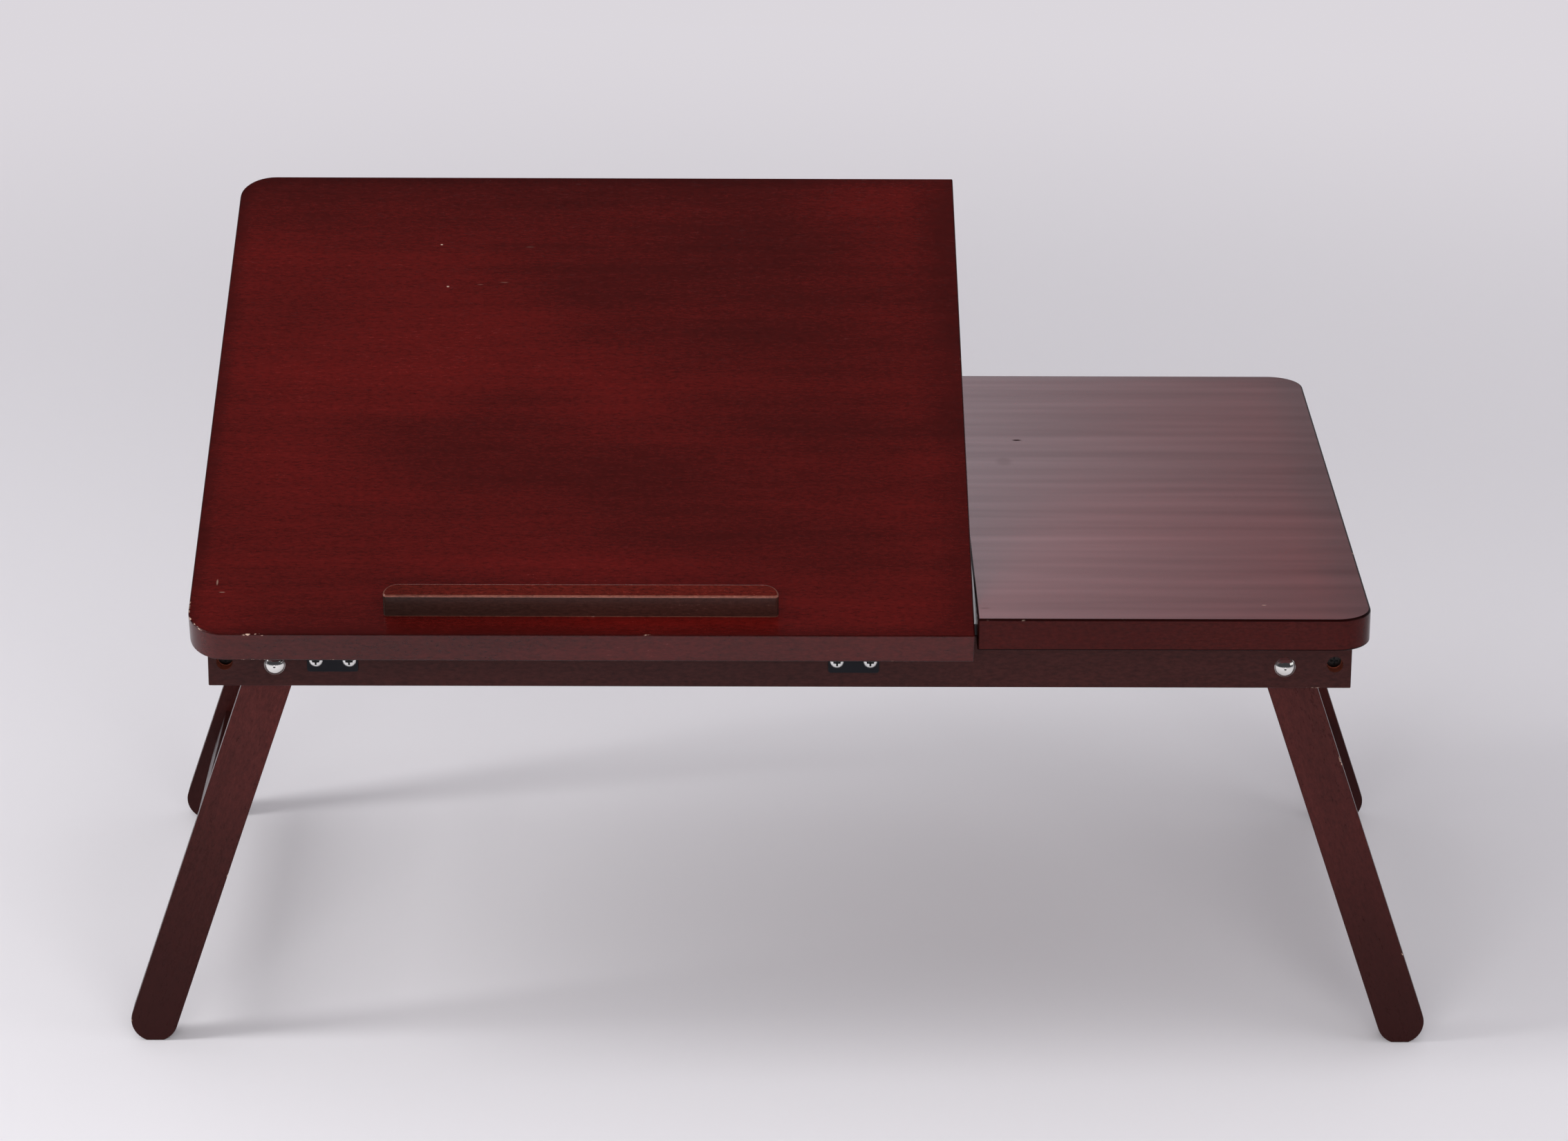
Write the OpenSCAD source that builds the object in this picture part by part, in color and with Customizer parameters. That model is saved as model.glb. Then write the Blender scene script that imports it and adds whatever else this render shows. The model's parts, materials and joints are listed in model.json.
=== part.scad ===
// Folding laptop table: a tilting panel on two hinges beside a fixed panel, on a rail
// frame, with two folding leg pairs and a wire bail that props the panel on notched racks.
// Millimetres. X runs along the front edge, Y from front to back, Z up from the floor.
// The rest pose is the table in use, with the panel propped and both leg pairs opened out.

/* [Panels] */
// Width of the whole top, both panels side by side
top_w = 600; // [585:1:680]
// Depth of both panels, front to back
top_d = 400; // [394:1:440]
// Thickness of both panels
board_t = 17; // [15:0.5:22]
// Width of the tilting panel
tilt_w = 398; // [380:1:420]
// Gap between the two panels
split_gap = 1.5; // [0.5:0.1:4]
// Corner radius at the outer corners of the top
corner_r = 19; // [6:1:30]

/* [Height and tilt] */
// Height of the fixed panel's top above the floor
table_h = 253; // [240:1:260]
// Tilt of the panel at the lowest notch, in degrees
notch_first = 12; // [10:0.5:14]
// Tilt between two notches, in degrees
notch_step = 3.65; // [3:0.05:4]
// Number of notches on each rack
notch_count = 6; // [4:1:6]
// Notch that the bail stands in, counted from 0 at the lowest tilt
rest_notch = 2; // [1:1:3]

/* [Frame] */
// Height of all the rails
rail_h = 28.5; // [27:0.5:34]
// Thickness of all the rails
rail_t = 17; // [15:0.5:18]
// Overhang of the panels in front of and behind the frame
rail_inset = 22; // [21:0.5:26]
// Overhang of the panels at both ends of the frame
rail_end = 8; // [4:0.5:12]
// Diameter of the dowels that hold the cross rail
dowel_d = 6; // [5:0.5:7]
// Length of the dowels
dowel_len = 28; // [24:1:34]
// Height between the two dowels at one end of the cross rail
dowel_pitch = 13; // [11:0.5:15]
// Height of the sunk holes above the underside of the rails
sink_up = 13; // [12.5:0.5:15]
// Diameter of the sunk holes for the screw heads
sink_d = 8.4; // [8:0.1:9]
// Depth of the sunk holes in the front and back rails
sink_depth = 6; // [4:0.5:8]
// Depth of the sunk holes under the rails that carry the fixed panel
top_sink_depth = 11; // [9:0.5:13]

/* [Legs] */
// Width of a leg, seen from the front
leg_w = 24.5; // [22:0.5:25]
// Thickness of a leg, front to back
leg_t = 14; // [11:0.5:17]
// Lean of the opened legs away from vertical, in degrees
leg_splay = 18.7; // [14:0.1:21]
// Width of the flat on which a foot stands
foot_flat = 9; // [4:0.5:14]
// Height of the leg bolts above the underside of the rails
pivot_up = 11.6; // [11:0.1:13.5]
// Clearance between an opened leg and the edge that stops it
stop_gap = 0.2; // [0.1:0.05:0.5]
// Distance from the leg bolt to the near face of the stretcher
stretcher_at = 163; // [120:1:175]
// Width of the stretcher across the leg
stretcher_w = 13; // [10:0.5:16]
// Size of the stretcher along the leg
stretcher_l = 21; // [16:0.5:26]
// Length of the stretcher's tenons
tenon_len = 8; // [5:0.5:9]
// Shoulder all round the stretcher's tenons
tenon_shoulder = 2.5; // [1.5:0.5:3.5]

/* [Leg bolts] */
// Diameter of the leg bolts
bolt_d = 6; // [5:0.5:7]
// Diameter of the domed bolt heads
bolt_head_d = 10.7; // [9.5:0.1:12]
// Height of the domed bolt heads
bolt_head_h = 3; // [2:0.1:3.5]
// Outer diameter of the washers on the leg bolts
washer_d = 14; // [12:0.5:16]
// Thickness of the washers on the leg bolts
washer_t = 1; // [0.8:0.1:1.4]
// Size of the lock nuts across their flats
nut_af = 10; // [9:0.5:11]
// Height of the lock nuts
nut_h = 6; // [5:0.5:7]
// Length of bolt that stands out of the nut
bolt_proud = 1.5; // [0.5:0.1:3]

/* [Hinges] */
// Length of a hinge along its pin
hinge_len = 26; // [24:0.5:30]
// Reach of each hinge leaf from the pin's axis
hinge_leaf = 18; // [16:0.5:18.5]
// Thickness of the hinge leaves
leaf_t = 1.2; // [0.8:0.1:1.5]
// Outer radius of the hinge knuckles
knuckle_r = 2.2; // [2:0.05:2.6]
// Diameter of the hinge pins
pin_d = 2; // [1.6:0.1:2.4]
// Height of the heads on the ends of a hinge pin
pin_head_h = 0.6; // [0.4:0.1:1]
// From the left end of the tilting panel to the middle of the left hinge
hinge_in_left = 71.7; // [66:0.1:90]
// From the right end of the tilting panel to the middle of the right hinge
hinge_in_right = 60.5; // [50:0.1:90]
// Distance between the two screws of a leaf
leaf_screw_pitch = 17; // [14:0.5:18]
// From the free edge of a leaf to its screws
leaf_screw_in = 6; // [5.5:0.1:8.5]

/* [Stop bar] */
// Length of the stop bar
stop_len = 200; // [120:1:300]
// Depth of the stop bar, front to back
stop_d = 10; // [9:0.5:14]
// Height of the stop bar above the panel
stop_h = 14; // [11:0.5:20]
// From the panel's front edge to the stop bar
stop_in = 14; // [8:0.5:30]
// Corner radius at the back of the stop bar
stop_back_r = 8; // [3:0.5:8.5]
// Corner radius at the front of the stop bar
stop_front_r = 2; // [0.5:0.5:4]

/* [Bail and racks] */
// Diameter of the bail's steel wire
wire_d = 5; // [4:0.25:5.5]
// Length of the bail's arms, from crossbar to feet
bail_arm = 120; // [112:1:126]
// Gap between the rear legs and the feet of the bail, with the panel closed
foot_clear = 19; // [12:1:24]
// Height of the hinge axis above the bail's feet, in the rest notch
foot_drop = 10.3; // [9.5:0.1:11]
// Radius of the wire's bends, at its middle
wire_bend_r = 7; // [6:0.5:8]
// Gap between the wire's crossbar and the panel
bail_drop = 0.8; // [0.6:0.1:1.2]
// Thickness of the racks
rack_t = 12; // [10:0.5:14]
// Width between a bail arm and the rack beside it
arm_gap = 4.5; // [3.5:0.5:8]
// Gap between the bail's feet and the rails beside the racks
foot_end_gap = 2; // [1:0.5:3]
// Depth of the notches
notch_depth = 1.6; // [1:0.1:1.8]
// Wood past the first and last notch of a rack
rack_tail = 10; // [8:0.5:12]
// Height of the racks' underside above the rails' underside
rack_raise = 1; // [0.5:0.5:2]
// Thickness of the saddles' sheet steel
saddle_t = 1.2; // [0.8:0.1:1.4]
// Length of the saddles along the crossbar
saddle_len = 10; // [8:0.5:14]
// Reach of the saddles' ears on both sides of the wire
saddle_ear = 13; // [11.5:0.5:16]
// From a bail arm to the middle of the saddle next to it
saddle_in = 26; // [16:1:40]

/* [Screws] */
// Diameter of the hinge, saddle and rack screws
small_screw_d = 3; // [2.5:0.25:3.5]
// Length of the hinge and saddle screws below their heads
small_screw_len = 10; // [8:0.5:11]
// Diameter of the small screws' round heads
small_head_d = 6.9; // [6:0.1:7.2]
// Height of the small screws' round heads
small_head_h = 1.7; // [1.2:0.1:2]
// Length of the rack screws
rack_screw_len = 22; // [18:0.5:24]
// From each end of a rack to its screw
rack_screw_in = 20.5; // [16:0.5:26]
// Diameter of the frame and panel screws
large_screw_d = 4; // [3.5:0.25:4.5]
// Diameter of the large screws' heads
large_head_d = 7.6; // [7:0.1:7.9]
// Length of the screws that join the rails
frame_screw_len = 36; // [30:1:45]
// Length of the screws that hold the fixed panel
top_screw_len = 29; // [26:0.5:30]
// From the fixed panel's inner edge to its first screws
top_screw_in = 25; // [18:1:30]
// From the table's right end to the fixed panel's second screws in the front and back rails
top_screw_out = 75; // [45:1:90]
// Distance between the fixed panel's two screws in the side rail
side_screw_pitch = 160; // [80:1:220]
// Length of the screws that hold the stop bar
stop_screw_len = 27; // [24:0.5:28]
// Distance between the stop bar's two screws
stop_screw_pitch = 130; // [80:1:160]

/* [Clearances] */
// Clearance round the leg bolts, the hinge pins and the crossbar, on the radius
run_fit = 0.08; // [0.05:0.01:0.1]
// Clearance round the screws, dowels and tenons, on the radius
seat_fit = 0.04; // [0.02:0.01:0.08]
// Clearance between moving flat faces
slide_gap = 0.15; // [0.1:0.05:0.3]
// Clearance under the closed panel and round the hinge knuckles
lid_gap = 0.3; // [0.2:0.05:0.5]
// Clearance between the bail's feet and the tips of the racks
prop_gap = 0.3; // [0.2:0.05:0.6]

/* [Hidden] */
$fn = 96;

lacquer = [0.26, 0.09, 0.09];
panel_red = [0.36, 0.08, 0.08];
dark_steel = [0.12, 0.12, 0.13];
bright_steel = [0.78, 0.78, 0.76];
pale_wood = [0.74, 0.60, 0.42];

// Levels above the floor
rail_top = table_h - board_t;
rail_low = rail_top - rail_h;
pivot_z = rail_low + pivot_up;

// Hinge axis, which is the origin of everything that tilts
hinge_off = knuckle_r + lid_gap;
axis_y = rail_inset - hinge_off;
axis_z = rail_top + lid_gap - hinge_off;
tilt_rest = notch_first + rest_notch * notch_step;
tilt_max = notch_first + (notch_count - 1) * notch_step;
panel_up = hinge_off;

// The origin lies under the middle of the whole table: the tilted panel's front edge
// stands out in front of the fixed panel, and the fixed panel ends the table behind.
front_y = min(0, axis_y - axis_y * cos(tilt_rest) - (panel_up + board_t) * sin(tilt_rest));
mid_y = (front_y + top_d) / 2;

// Frame places, in the table's own axes: x from the left end of the top, y from its front
side_in = rail_end + rail_t;
rail_back_y = rail_inset + rail_t;
rear_rail_y = top_d - rail_inset - rail_t;
cross_x = (top_w - rail_t) / 2;
cross_len = rear_rail_y - rail_back_y;
screw_x = rail_end + rail_t / 2;
screw_z = rail_low + sink_up;

// Legs: the opened leg's outer edge meets the lower inner edge of the side rail
leg_r = leg_w / 2;
pivot_x = side_in + (stop_gap + leg_r) / cos(leg_splay) + pivot_up * tan(leg_splay);
foot_up = sqrt(leg_r * leg_r - foot_flat * foot_flat / 4);
leg_len = (pivot_z - foot_up) / cos(leg_splay);
leg_y = rail_back_y + washer_t + slide_gap;
leg_inner_y = leg_y + leg_t;
nut_washer_y = leg_inner_y + slide_gap;
nut_y = nut_washer_y + washer_t;
bolt_end_y = nut_y + nut_h + bolt_proud;
stretcher_span = top_d - 2 * leg_inner_y;

// Bail: its places are told from the hinge axis, y to the back and z up. Closed, it lies
// along the panel with its feet short of the rear legs. As the panel rises, it leans down
// by lean_rate degrees for each degree of tilt, which brings its feet to the racks.
bail_hang = panel_up - wire_d / 2 - bail_drop;
bail_reach = top_d - leg_inner_y - foot_clear - wire_d / 2 - bail_arm - axis_y;
lean_rate = asin((bail_z(tilt_rest) + foot_drop) / bail_arm) / tilt_rest;
function bail_lean(tilt) = lean_rate * tilt;
function bail_y(tilt) = bail_reach * cos(tilt) - bail_hang * sin(tilt);
function bail_z(tilt) = bail_reach * sin(tilt) + bail_hang * cos(tilt);
function foot_y(tilt) = bail_y(tilt) + bail_arm * cos(bail_lean(tilt));
function foot_z(tilt) = bail_z(tilt) - bail_arm * sin(bail_lean(tilt));
notch_tilts = [for (i = [0 : notch_count - 1]) notch_first + i * notch_step];
path_tilts = [for (t = [0 : 0.25 : tilt_max]) t];
rack_top = axis_z + min([for (t = path_tilts) foot_z(t)]) - wire_d / 2 - prop_gap;
rack_low = rail_low + rack_raise;
rack_front = axis_y + foot_y(tilt_max) - rack_tail;
rack_len = foot_y(notch_first) - foot_y(tilt_max) + 2 * rack_tail;
notch_r = wire_d / 2 + prop_gap;
left_arm_x = side_in + rack_t + arm_gap + wire_d / 2;
right_arm_x = cross_x - rack_t - arm_gap - wire_d / 2;
left_foot_x = side_in + foot_end_gap;
right_foot_x = cross_x - foot_end_gap;

// Hinges and screw places
knuckle_len = hinge_len / 3;
hinge_xs = [hinge_in_left, tilt_w - hinge_in_right];
leaf_screw_y = hinge_leaf - leaf_screw_in;
saddle_xs = [left_arm_x + saddle_in, right_arm_x - saddle_in];
saddle_screw_y = (saddle_ear + wire_d / 2 + run_fit + saddle_t) / 2;
stop_screw_xs = [(tilt_w - stop_screw_pitch) / 2, (tilt_w + stop_screw_pitch) / 2];
rack_screw_z = (rack_low + rack_top - notch_depth) / 2;
rack_screw_ys = [rack_front + rack_screw_in, rack_front + rack_len - rack_screw_in];
fixed_x = tilt_w + split_gap;
fixed_w = top_w - fixed_x;
top_screw_xs = [fixed_x + top_screw_in, top_w - top_screw_out];
top_screw_ys = [(top_d - side_screw_pitch) / 2, (top_d + side_screw_pitch) / 2];
small_point = 2.5;
large_point = 4;
edge_over = 1;

// Moves a piece from the table's own axes to the model's origin
module in_table() {
    translate([-top_w / 2, -mid_y, 0]) children();
}

// Moves a piece from the panel's own axes, at the hinge axis, to its tilted place
module on_panel() {
    in_table() translate([0, axis_y, axis_z]) rotate([tilt_rest, 0, 0]) children();
}

// Right-hand copy of a piece at the left end
module at_right() {
    translate([top_w, 0, 0]) mirror([1, 0, 0]) children();
}

// Rear copy of a piece at the front
module at_rear() {
    translate([0, top_d, 0]) mirror([0, 1, 0]) children();
}

// A place on all four corners of the frame
module at_corners() {
    children();
    at_right() children();
    at_rear() children();
    at_right() at_rear() children();
}

// Turns a piece that points up so that it points to the back
module point_back() {
    rotate([-90, 0, 0]) children();
}

// Turns a piece that points up so that it points to the right
module point_right() {
    rotate([0, 90, 0]) children();
}

// What is cut away at a corner to round it, with the corner at the origin
module corner_waste(r, h) {
    difference() {
        translate([-edge_over, -edge_over, -edge_over])
            cube([r + edge_over, r + edge_over, h + 2 * edge_over]);
        translate([r, r, -2 * edge_over]) cylinder(r = r, h = h + 4 * edge_over);
    }
}

// Wood screw with a round head: the head's underside at the origin, the shank going up
module round_screw(d, len, head_d, head_h) {
    dome_r = (head_h * head_h + head_d * head_d / 4) / (2 * head_h);
    recess = head_d / 7;
    difference() {
        intersection() {
            translate([0, 0, dome_r - head_h]) sphere(r = dome_r);
            translate([0, 0, -2 * head_h]) cylinder(r = head_d, h = 2 * head_h);
        }
        cross_recess(head_d * 0.55, recess, -head_h, head_h * 0.6);
    }
    screw_shank(d, len, small_point);
}

// Wood screw with a countersunk head: the head's flat face at the origin
module sunk_screw(d, len, head_d, point) {
    head_h = (head_d - d) / 2;
    difference() {
        cylinder(r1 = head_d / 2, r2 = d / 2, h = head_h);
        cross_recess(head_d * 0.55, head_d / 7, 0, head_h * 0.6);
    }
    translate([0, 0, head_h]) screw_shank(d, len - head_h, point);
}

module screw_shank(d, len, point) {
    cylinder(r = d / 2, h = len - point);
    translate([0, 0, len - point]) cylinder(r1 = d / 2, r2 = d / 10, h = point);
}

module cross_recess(across, slot, z, depth) {
    for (turn = [0, 90]) rotate([0, 0, turn])
        translate([-across / 2, -slot / 2, z - depth]) cube([across, slot, 2 * depth]);
}

// Hole for a wood screw's shank
module screw_hole(d, len) {
    cylinder(r = d / 2 + seat_fit, h = len + seat_fit);
}

// Hole for a countersunk screw, with the face it sinks into at the origin
module sunk_hole(d, len, head_d) {
    head_h = (head_d - d) / 2;
    cylinder(r1 = head_d / 2 + seat_fit, r2 = d / 2 + seat_fit, h = head_h);
    translate([0, 0, -edge_over]) cylinder(r = head_d / 2 + seat_fit, h = edge_over);
    screw_hole(d, len);
}

// Front rail with its bolt, dowel and sunk screw holes, and its hinge holes where asked for
module end_rail(with_hinges) {
    difference() {
        translate([rail_end, rail_inset, rail_low]) cube([top_w - 2 * rail_end, rail_t, rail_h]);
        for (x = [pivot_x, top_w - pivot_x])
            translate([x, rail_inset - edge_over, pivot_z]) point_back()
                cylinder(r = bolt_d / 2 + seat_fit, h = rail_t + 2 * edge_over);
        for (x = [screw_x, top_w - screw_x]) translate([x, rail_inset, screw_z]) point_back() {
            translate([0, 0, -edge_over]) cylinder(r = sink_d / 2, h = sink_depth + edge_over);
            translate([0, 0, sink_depth]) sunk_hole(large_screw_d, rail_t, large_head_d);
        }
        dowel_places() point_back() translate([0, 0, -seat_fit - dowel_len / 2])
            cylinder(r = dowel_d / 2 + seat_fit, h = dowel_len);
        for (x = top_screw_xs) translate([x, rail_inset + rail_t / 2, rail_low]) top_screw_hole();
        if (with_hinges) rail_leaf_screw_places() screw_hole(small_screw_d, small_screw_len - leaf_t);
    }
}

// Middle of each dowel at the front end of the cross rail
module dowel_places() {
    for (side = [-1, 1])
        translate([top_w / 2, rail_back_y, rail_low + rail_h / 2 + side * dowel_pitch / 2]) children();
}

// Sunk hole for a screw that goes up through a rail into the fixed panel
module top_screw_hole() {
    translate([0, 0, -edge_over]) cylinder(r = sink_d / 2, h = top_sink_depth + edge_over);
    translate([0, 0, top_sink_depth]) sunk_hole(large_screw_d, rail_h, large_head_d);
}

// Places on the front face of the front rail where the hinge screws enter
module rail_leaf_screw_places() {
    for (x = hinge_xs, side = [-1, 1])
        translate([x + side * leaf_screw_pitch / 2, rail_inset, axis_z - leaf_screw_y])
            point_back() children();
}

module front_rail() {
    color(lacquer) in_table() end_rail(true);
}

module back_rail() {
    color(lacquer) in_table() at_rear() end_rail(false);
}

// Left side rail, without the holes that only one end has
module side_rail() {
    difference() {
        translate([rail_end, rail_back_y, rail_low]) cube([rail_t, cross_len, rail_h]);
        for (y = [rail_back_y, rear_rail_y]) {
            turn = y == rail_back_y ? -90 : 90;
            translate([screw_x, y, screw_z]) rotate([turn, 0, 0])
                screw_hole(large_screw_d, frame_screw_len + sink_depth - rail_t);
        }
    }
}

module left_side_rail() {
    color(lacquer) in_table() difference() {
        side_rail();
        rack_screw_places() screw_hole(small_screw_d, rack_screw_len - rack_t);
    }
}

module right_side_rail() {
    color(lacquer) in_table() difference() {
        at_right() side_rail();
        side_top_screw_places() top_screw_hole();
    }
}

// Places under the right side rail where the fixed panel's screws enter
module side_top_screw_places() {
    for (y = top_screw_ys) translate([top_w - screw_x, y, rail_low]) children();
}

module cross_rail() {
    color(lacquer) in_table() difference() {
        translate([cross_x, rail_back_y, rail_low]) cube([rail_t, cross_len, rail_h]);
        for (turned = [false, true]) rear_if(turned) dowel_places() point_back()
            cylinder(r = dowel_d / 2 + seat_fit, h = dowel_len / 2 + seat_fit);
        on_cross_rail() rack_screw_places() screw_hole(small_screw_d, rack_screw_len - rack_t);
    }
}

module rear_if(turned) {
    if (turned) at_rear() children();
    else children();
}

module cross_rail_dowels() {
    color(pale_wood) in_table() for (turned = [false, true]) rear_if(turned)
        dowel_places() point_back() translate([0, 0, seat_fit - dowel_len / 2])
            cylinder(r = dowel_d / 2, h = dowel_len - 2 * seat_fit);
}

module frame_screws() {
    color(bright_steel) in_table() at_corners()
        translate([screw_x, rail_inset + sink_depth, screw_z]) point_back()
            sunk_screw(large_screw_d, frame_screw_len, large_head_d, large_point);
}

module fixed_top() {
    color(panel_red) in_table() difference() {
        translate([fixed_x, 0, rail_top]) cube([fixed_w, top_d, board_t]);
        at_right() {
            translate([0, 0, rail_top]) corner_waste(corner_r, board_t);
            at_rear() translate([0, 0, rail_top]) corner_waste(corner_r, board_t);
        }
        fixed_top_screws_at() translate([0, 0, rail_h])
            screw_hole(large_screw_d, top_screw_len + top_sink_depth - rail_h);
    }
}

// Places under the rails of all the fixed panel's screws
module fixed_top_screws_at() {
    for (x = top_screw_xs, y = [rail_inset + rail_t / 2, top_d - rail_inset - rail_t / 2])
        translate([x, y, rail_low]) children();
    side_top_screw_places() children();
}

module top_screws() {
    color(bright_steel) in_table() fixed_top_screws_at() translate([0, 0, top_sink_depth])
        sunk_screw(large_screw_d, top_screw_len, large_head_d, large_point);
}

// Notched rack on the inner face of the left side rail
module rack() {
    difference() {
        translate([side_in, rack_front, rack_low]) cube([rack_t, rack_len, rack_top - rack_low]);
        for (tilt = notch_tilts)
            translate([side_in - edge_over, axis_y + foot_y(tilt), rack_top + notch_r - notch_depth])
                point_right() cylinder(r = notch_r, h = rack_t + 2 * edge_over);
        for (y = rack_screw_ys) translate([side_in + rack_t, y, rack_screw_z])
            rotate([0, -90, 0]) sunk_hole(small_screw_d, rack_t, small_head_d);
    }
}

// Copy of a piece on the left side rail, placed on the cross rail's left face
module on_cross_rail() {
    translate([cross_x + side_in, 0, 0]) mirror([1, 0, 0]) children();
}

// Places where the rack's screws enter the rail behind it
module rack_screw_places() {
    for (y = rack_screw_ys) translate([side_in, y, rack_screw_z]) rotate([0, -90, 0]) children();
}

module left_rack() {
    color(lacquer) in_table() rack();
}

module right_rack() {
    color(lacquer) in_table() on_cross_rail() rack();
}

module rack_screws() {
    color(bright_steel) in_table() for (crossed = [false, true]) cross_if(crossed)
        rack_screw_places() translate([0, 0, -rack_t])
            sunk_screw(small_screw_d, rack_screw_len, small_head_d, small_point);
}

module cross_if(crossed) {
    if (crossed) on_cross_rail() children();
    else children();
}

// Leg bolt with its domed head on the front rail's face
module leg_bolt() {
    dome_r = (bolt_head_h * bolt_head_h + bolt_head_d * bolt_head_d / 4) / (2 * bolt_head_h);
    translate([pivot_x, rail_inset, pivot_z]) point_back() {
        intersection() {
            translate([0, 0, dome_r - bolt_head_h]) sphere(r = dome_r);
            translate([0, 0, -2 * bolt_head_h]) cylinder(r = bolt_head_d, h = 2 * bolt_head_h);
        }
        cylinder(r = bolt_d / 2, h = bolt_end_y - rail_inset);
    }
}

module leg_bolts() {
    color(bright_steel) in_table() at_corners() leg_bolt();
}

// Washer round a leg bolt, with its front face at the given depth
module washer(y, bore_fit) {
    translate([pivot_x, y, pivot_z]) point_back() difference() {
        cylinder(r = washer_d / 2, h = washer_t);
        translate([0, 0, -edge_over]) cylinder(r = bolt_d / 2 + bore_fit, h = washer_t + 2 * edge_over);
    }
}

module rail_washers() {
    color(bright_steel) in_table() at_corners() washer(rail_back_y, seat_fit);
}

module nut_washers() {
    color(bright_steel) in_table() at_corners() washer(nut_washer_y, seat_fit);
}

module leg_nuts() {
    color(bright_steel) in_table() at_corners() leg_nut();
}

// Six-sided lock nut at the end of a leg bolt
module leg_nut() {
    translate([pivot_x, nut_y, pivot_z]) point_back() difference() {
        cylinder(r = nut_af / sqrt(3), h = nut_h, $fn = 6);
        translate([0, 0, -edge_over]) cylinder(r = bolt_d / 2 + seat_fit, h = nut_h + 2 * edge_over);
    }
}

// Knuckles on the sides given, -1, 0 or 1 from the hinge's middle, longer by grow at both ends
module knuckles(sides, r, grow) {
    for (side = sides) translate([side * knuckle_len - knuckle_len / 2 - grow, 0, 0])
        point_right() cylinder(r = r, h = knuckle_len + 2 * grow);
}

module pin_bore() {
    translate([-hinge_len, 0, 0]) point_right() cylinder(r = pin_d / 2 + run_fit, h = 2 * hinge_len);
}

// Places on a leaf where its screws go through, told from the hinge axis
module leaf_screw_places() {
    for (side = [-1, 1]) translate([side * leaf_screw_pitch / 2, -leaf_screw_y, 0]) children();
}

// Leaf under the panel's front edge, at the hinge axis, with the middle knuckle
module panel_leaf() {
    difference() {
        union() {
            difference() {
                translate([-hinge_len / 2, -hinge_leaf, panel_up - leaf_t])
                    cube([hinge_len, hinge_leaf, leaf_t]);
                knuckles([-1, 1], knuckle_r + lid_gap, slide_gap);
            }
            knuckles([0], knuckle_r, -slide_gap);
        }
        pin_bore();
        leaf_screw_places() translate([0, 0, panel_up - leaf_t - edge_over])
            cylinder(r = small_screw_d / 2 + seat_fit, h = leaf_t + 2 * edge_over);
    }
}

// Leaf on the front rail, at the hinge axis, with the two outer knuckles
module rail_leaf() {
    difference() {
        union() {
            difference() {
                translate([-hinge_len / 2, hinge_off - leaf_t, -hinge_leaf])
                    cube([hinge_len, leaf_t, hinge_leaf]);
                knuckles([0], knuckle_r + lid_gap, slide_gap);
            }
            knuckles([-1, 1], knuckle_r, 0);
        }
        pin_bore();
        for (side = [-1, 1])
            translate([side * leaf_screw_pitch / 2, hinge_off - leaf_t - edge_over, -leaf_screw_y])
                point_back() cylinder(r = small_screw_d / 2 + seat_fit, h = leaf_t + 2 * edge_over);
    }
}

module hinge_pin() {
    half = hinge_len / 2 + slide_gap;
    translate([-half, 0, 0]) point_right() cylinder(r = pin_d / 2, h = 2 * half);
    for (side = [-1, 1]) translate([side * (half + pin_head_h / 2) - pin_head_h / 2, 0, 0])
        point_right() cylinder(r = pin_d / 2 + pin_head_h, h = pin_head_h);
}

// Place of a hinge on the frame, the left one is 0 and the right one is 1
module at_hinge(i) {
    in_table() translate([hinge_xs[i], axis_y, axis_z]) children();
}

module left_hinge_rail_leaf() {
    color(dark_steel) at_hinge(0) rail_leaf();
}

module right_hinge_rail_leaf() {
    color(dark_steel) at_hinge(1) rail_leaf();
}

module left_hinge_pin() {
    color(dark_steel) at_hinge(0) hinge_pin();
}

module right_hinge_pin() {
    color(dark_steel) at_hinge(1) hinge_pin();
}

module hinge_rail_screws() {
    color(bright_steel) in_table() rail_leaf_screw_places() translate([0, 0, -leaf_t])
        round_screw(small_screw_d, small_screw_len, small_head_d, small_head_h);
}

module tilting_top() {
    color(panel_red) on_panel() difference() {
        translate([0, -axis_y, panel_up]) cube([tilt_w, top_d, board_t]);
        translate([0, -axis_y, panel_up]) corner_waste(corner_r, board_t);
        translate([0, top_d - axis_y, panel_up]) mirror([0, 1, 0]) corner_waste(corner_r, board_t);
        hinge_panel_screws_at() screw_hole(small_screw_d, small_screw_len - leaf_t);
        saddle_screws_at() screw_hole(small_screw_d, small_screw_len - saddle_t);
        stop_screws_at() sunk_hole(large_screw_d, board_t, large_head_d);
    }
}

// Places on the panel's underside where its hinge screws enter
module hinge_panel_screws_at() {
    for (x = hinge_xs) translate([x, 0, panel_up]) leaf_screw_places() children();
}

// Places on the panel's underside where the saddles' screws enter
module saddle_screws_at() {
    for (x = saddle_xs, side = [-1, 1])
        translate([x, bail_reach + side * saddle_screw_y, panel_up]) children();
}

// Places on the panel's underside where the stop bar's screws enter
module stop_screws_at() {
    for (x = stop_screw_xs) translate([x, stop_in + stop_d / 2 - axis_y, panel_up]) children();
}

module stop_bar() {
    color(panel_red) on_panel() translate([(tilt_w - stop_len) / 2, stop_in - axis_y, panel_up + board_t])
        difference() {
            cube([stop_len, stop_d, stop_h]);
            for (end = [0, 1]) translate([end * stop_len, 0, 0]) mirror([end, 0, 0]) {
                corner_waste(stop_front_r, stop_h);
                translate([0, stop_d, 0]) mirror([0, 1, 0]) corner_waste(stop_back_r, stop_h);
            }
            for (x = stop_screw_xs) translate([x - (tilt_w - stop_len) / 2, stop_d / 2, 0])
                screw_hole(large_screw_d, stop_screw_len - board_t);
        }
}

module stop_bar_screws() {
    color(bright_steel) on_panel() stop_screws_at()
        sunk_screw(large_screw_d, stop_screw_len, large_head_d, large_point);
}

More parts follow.
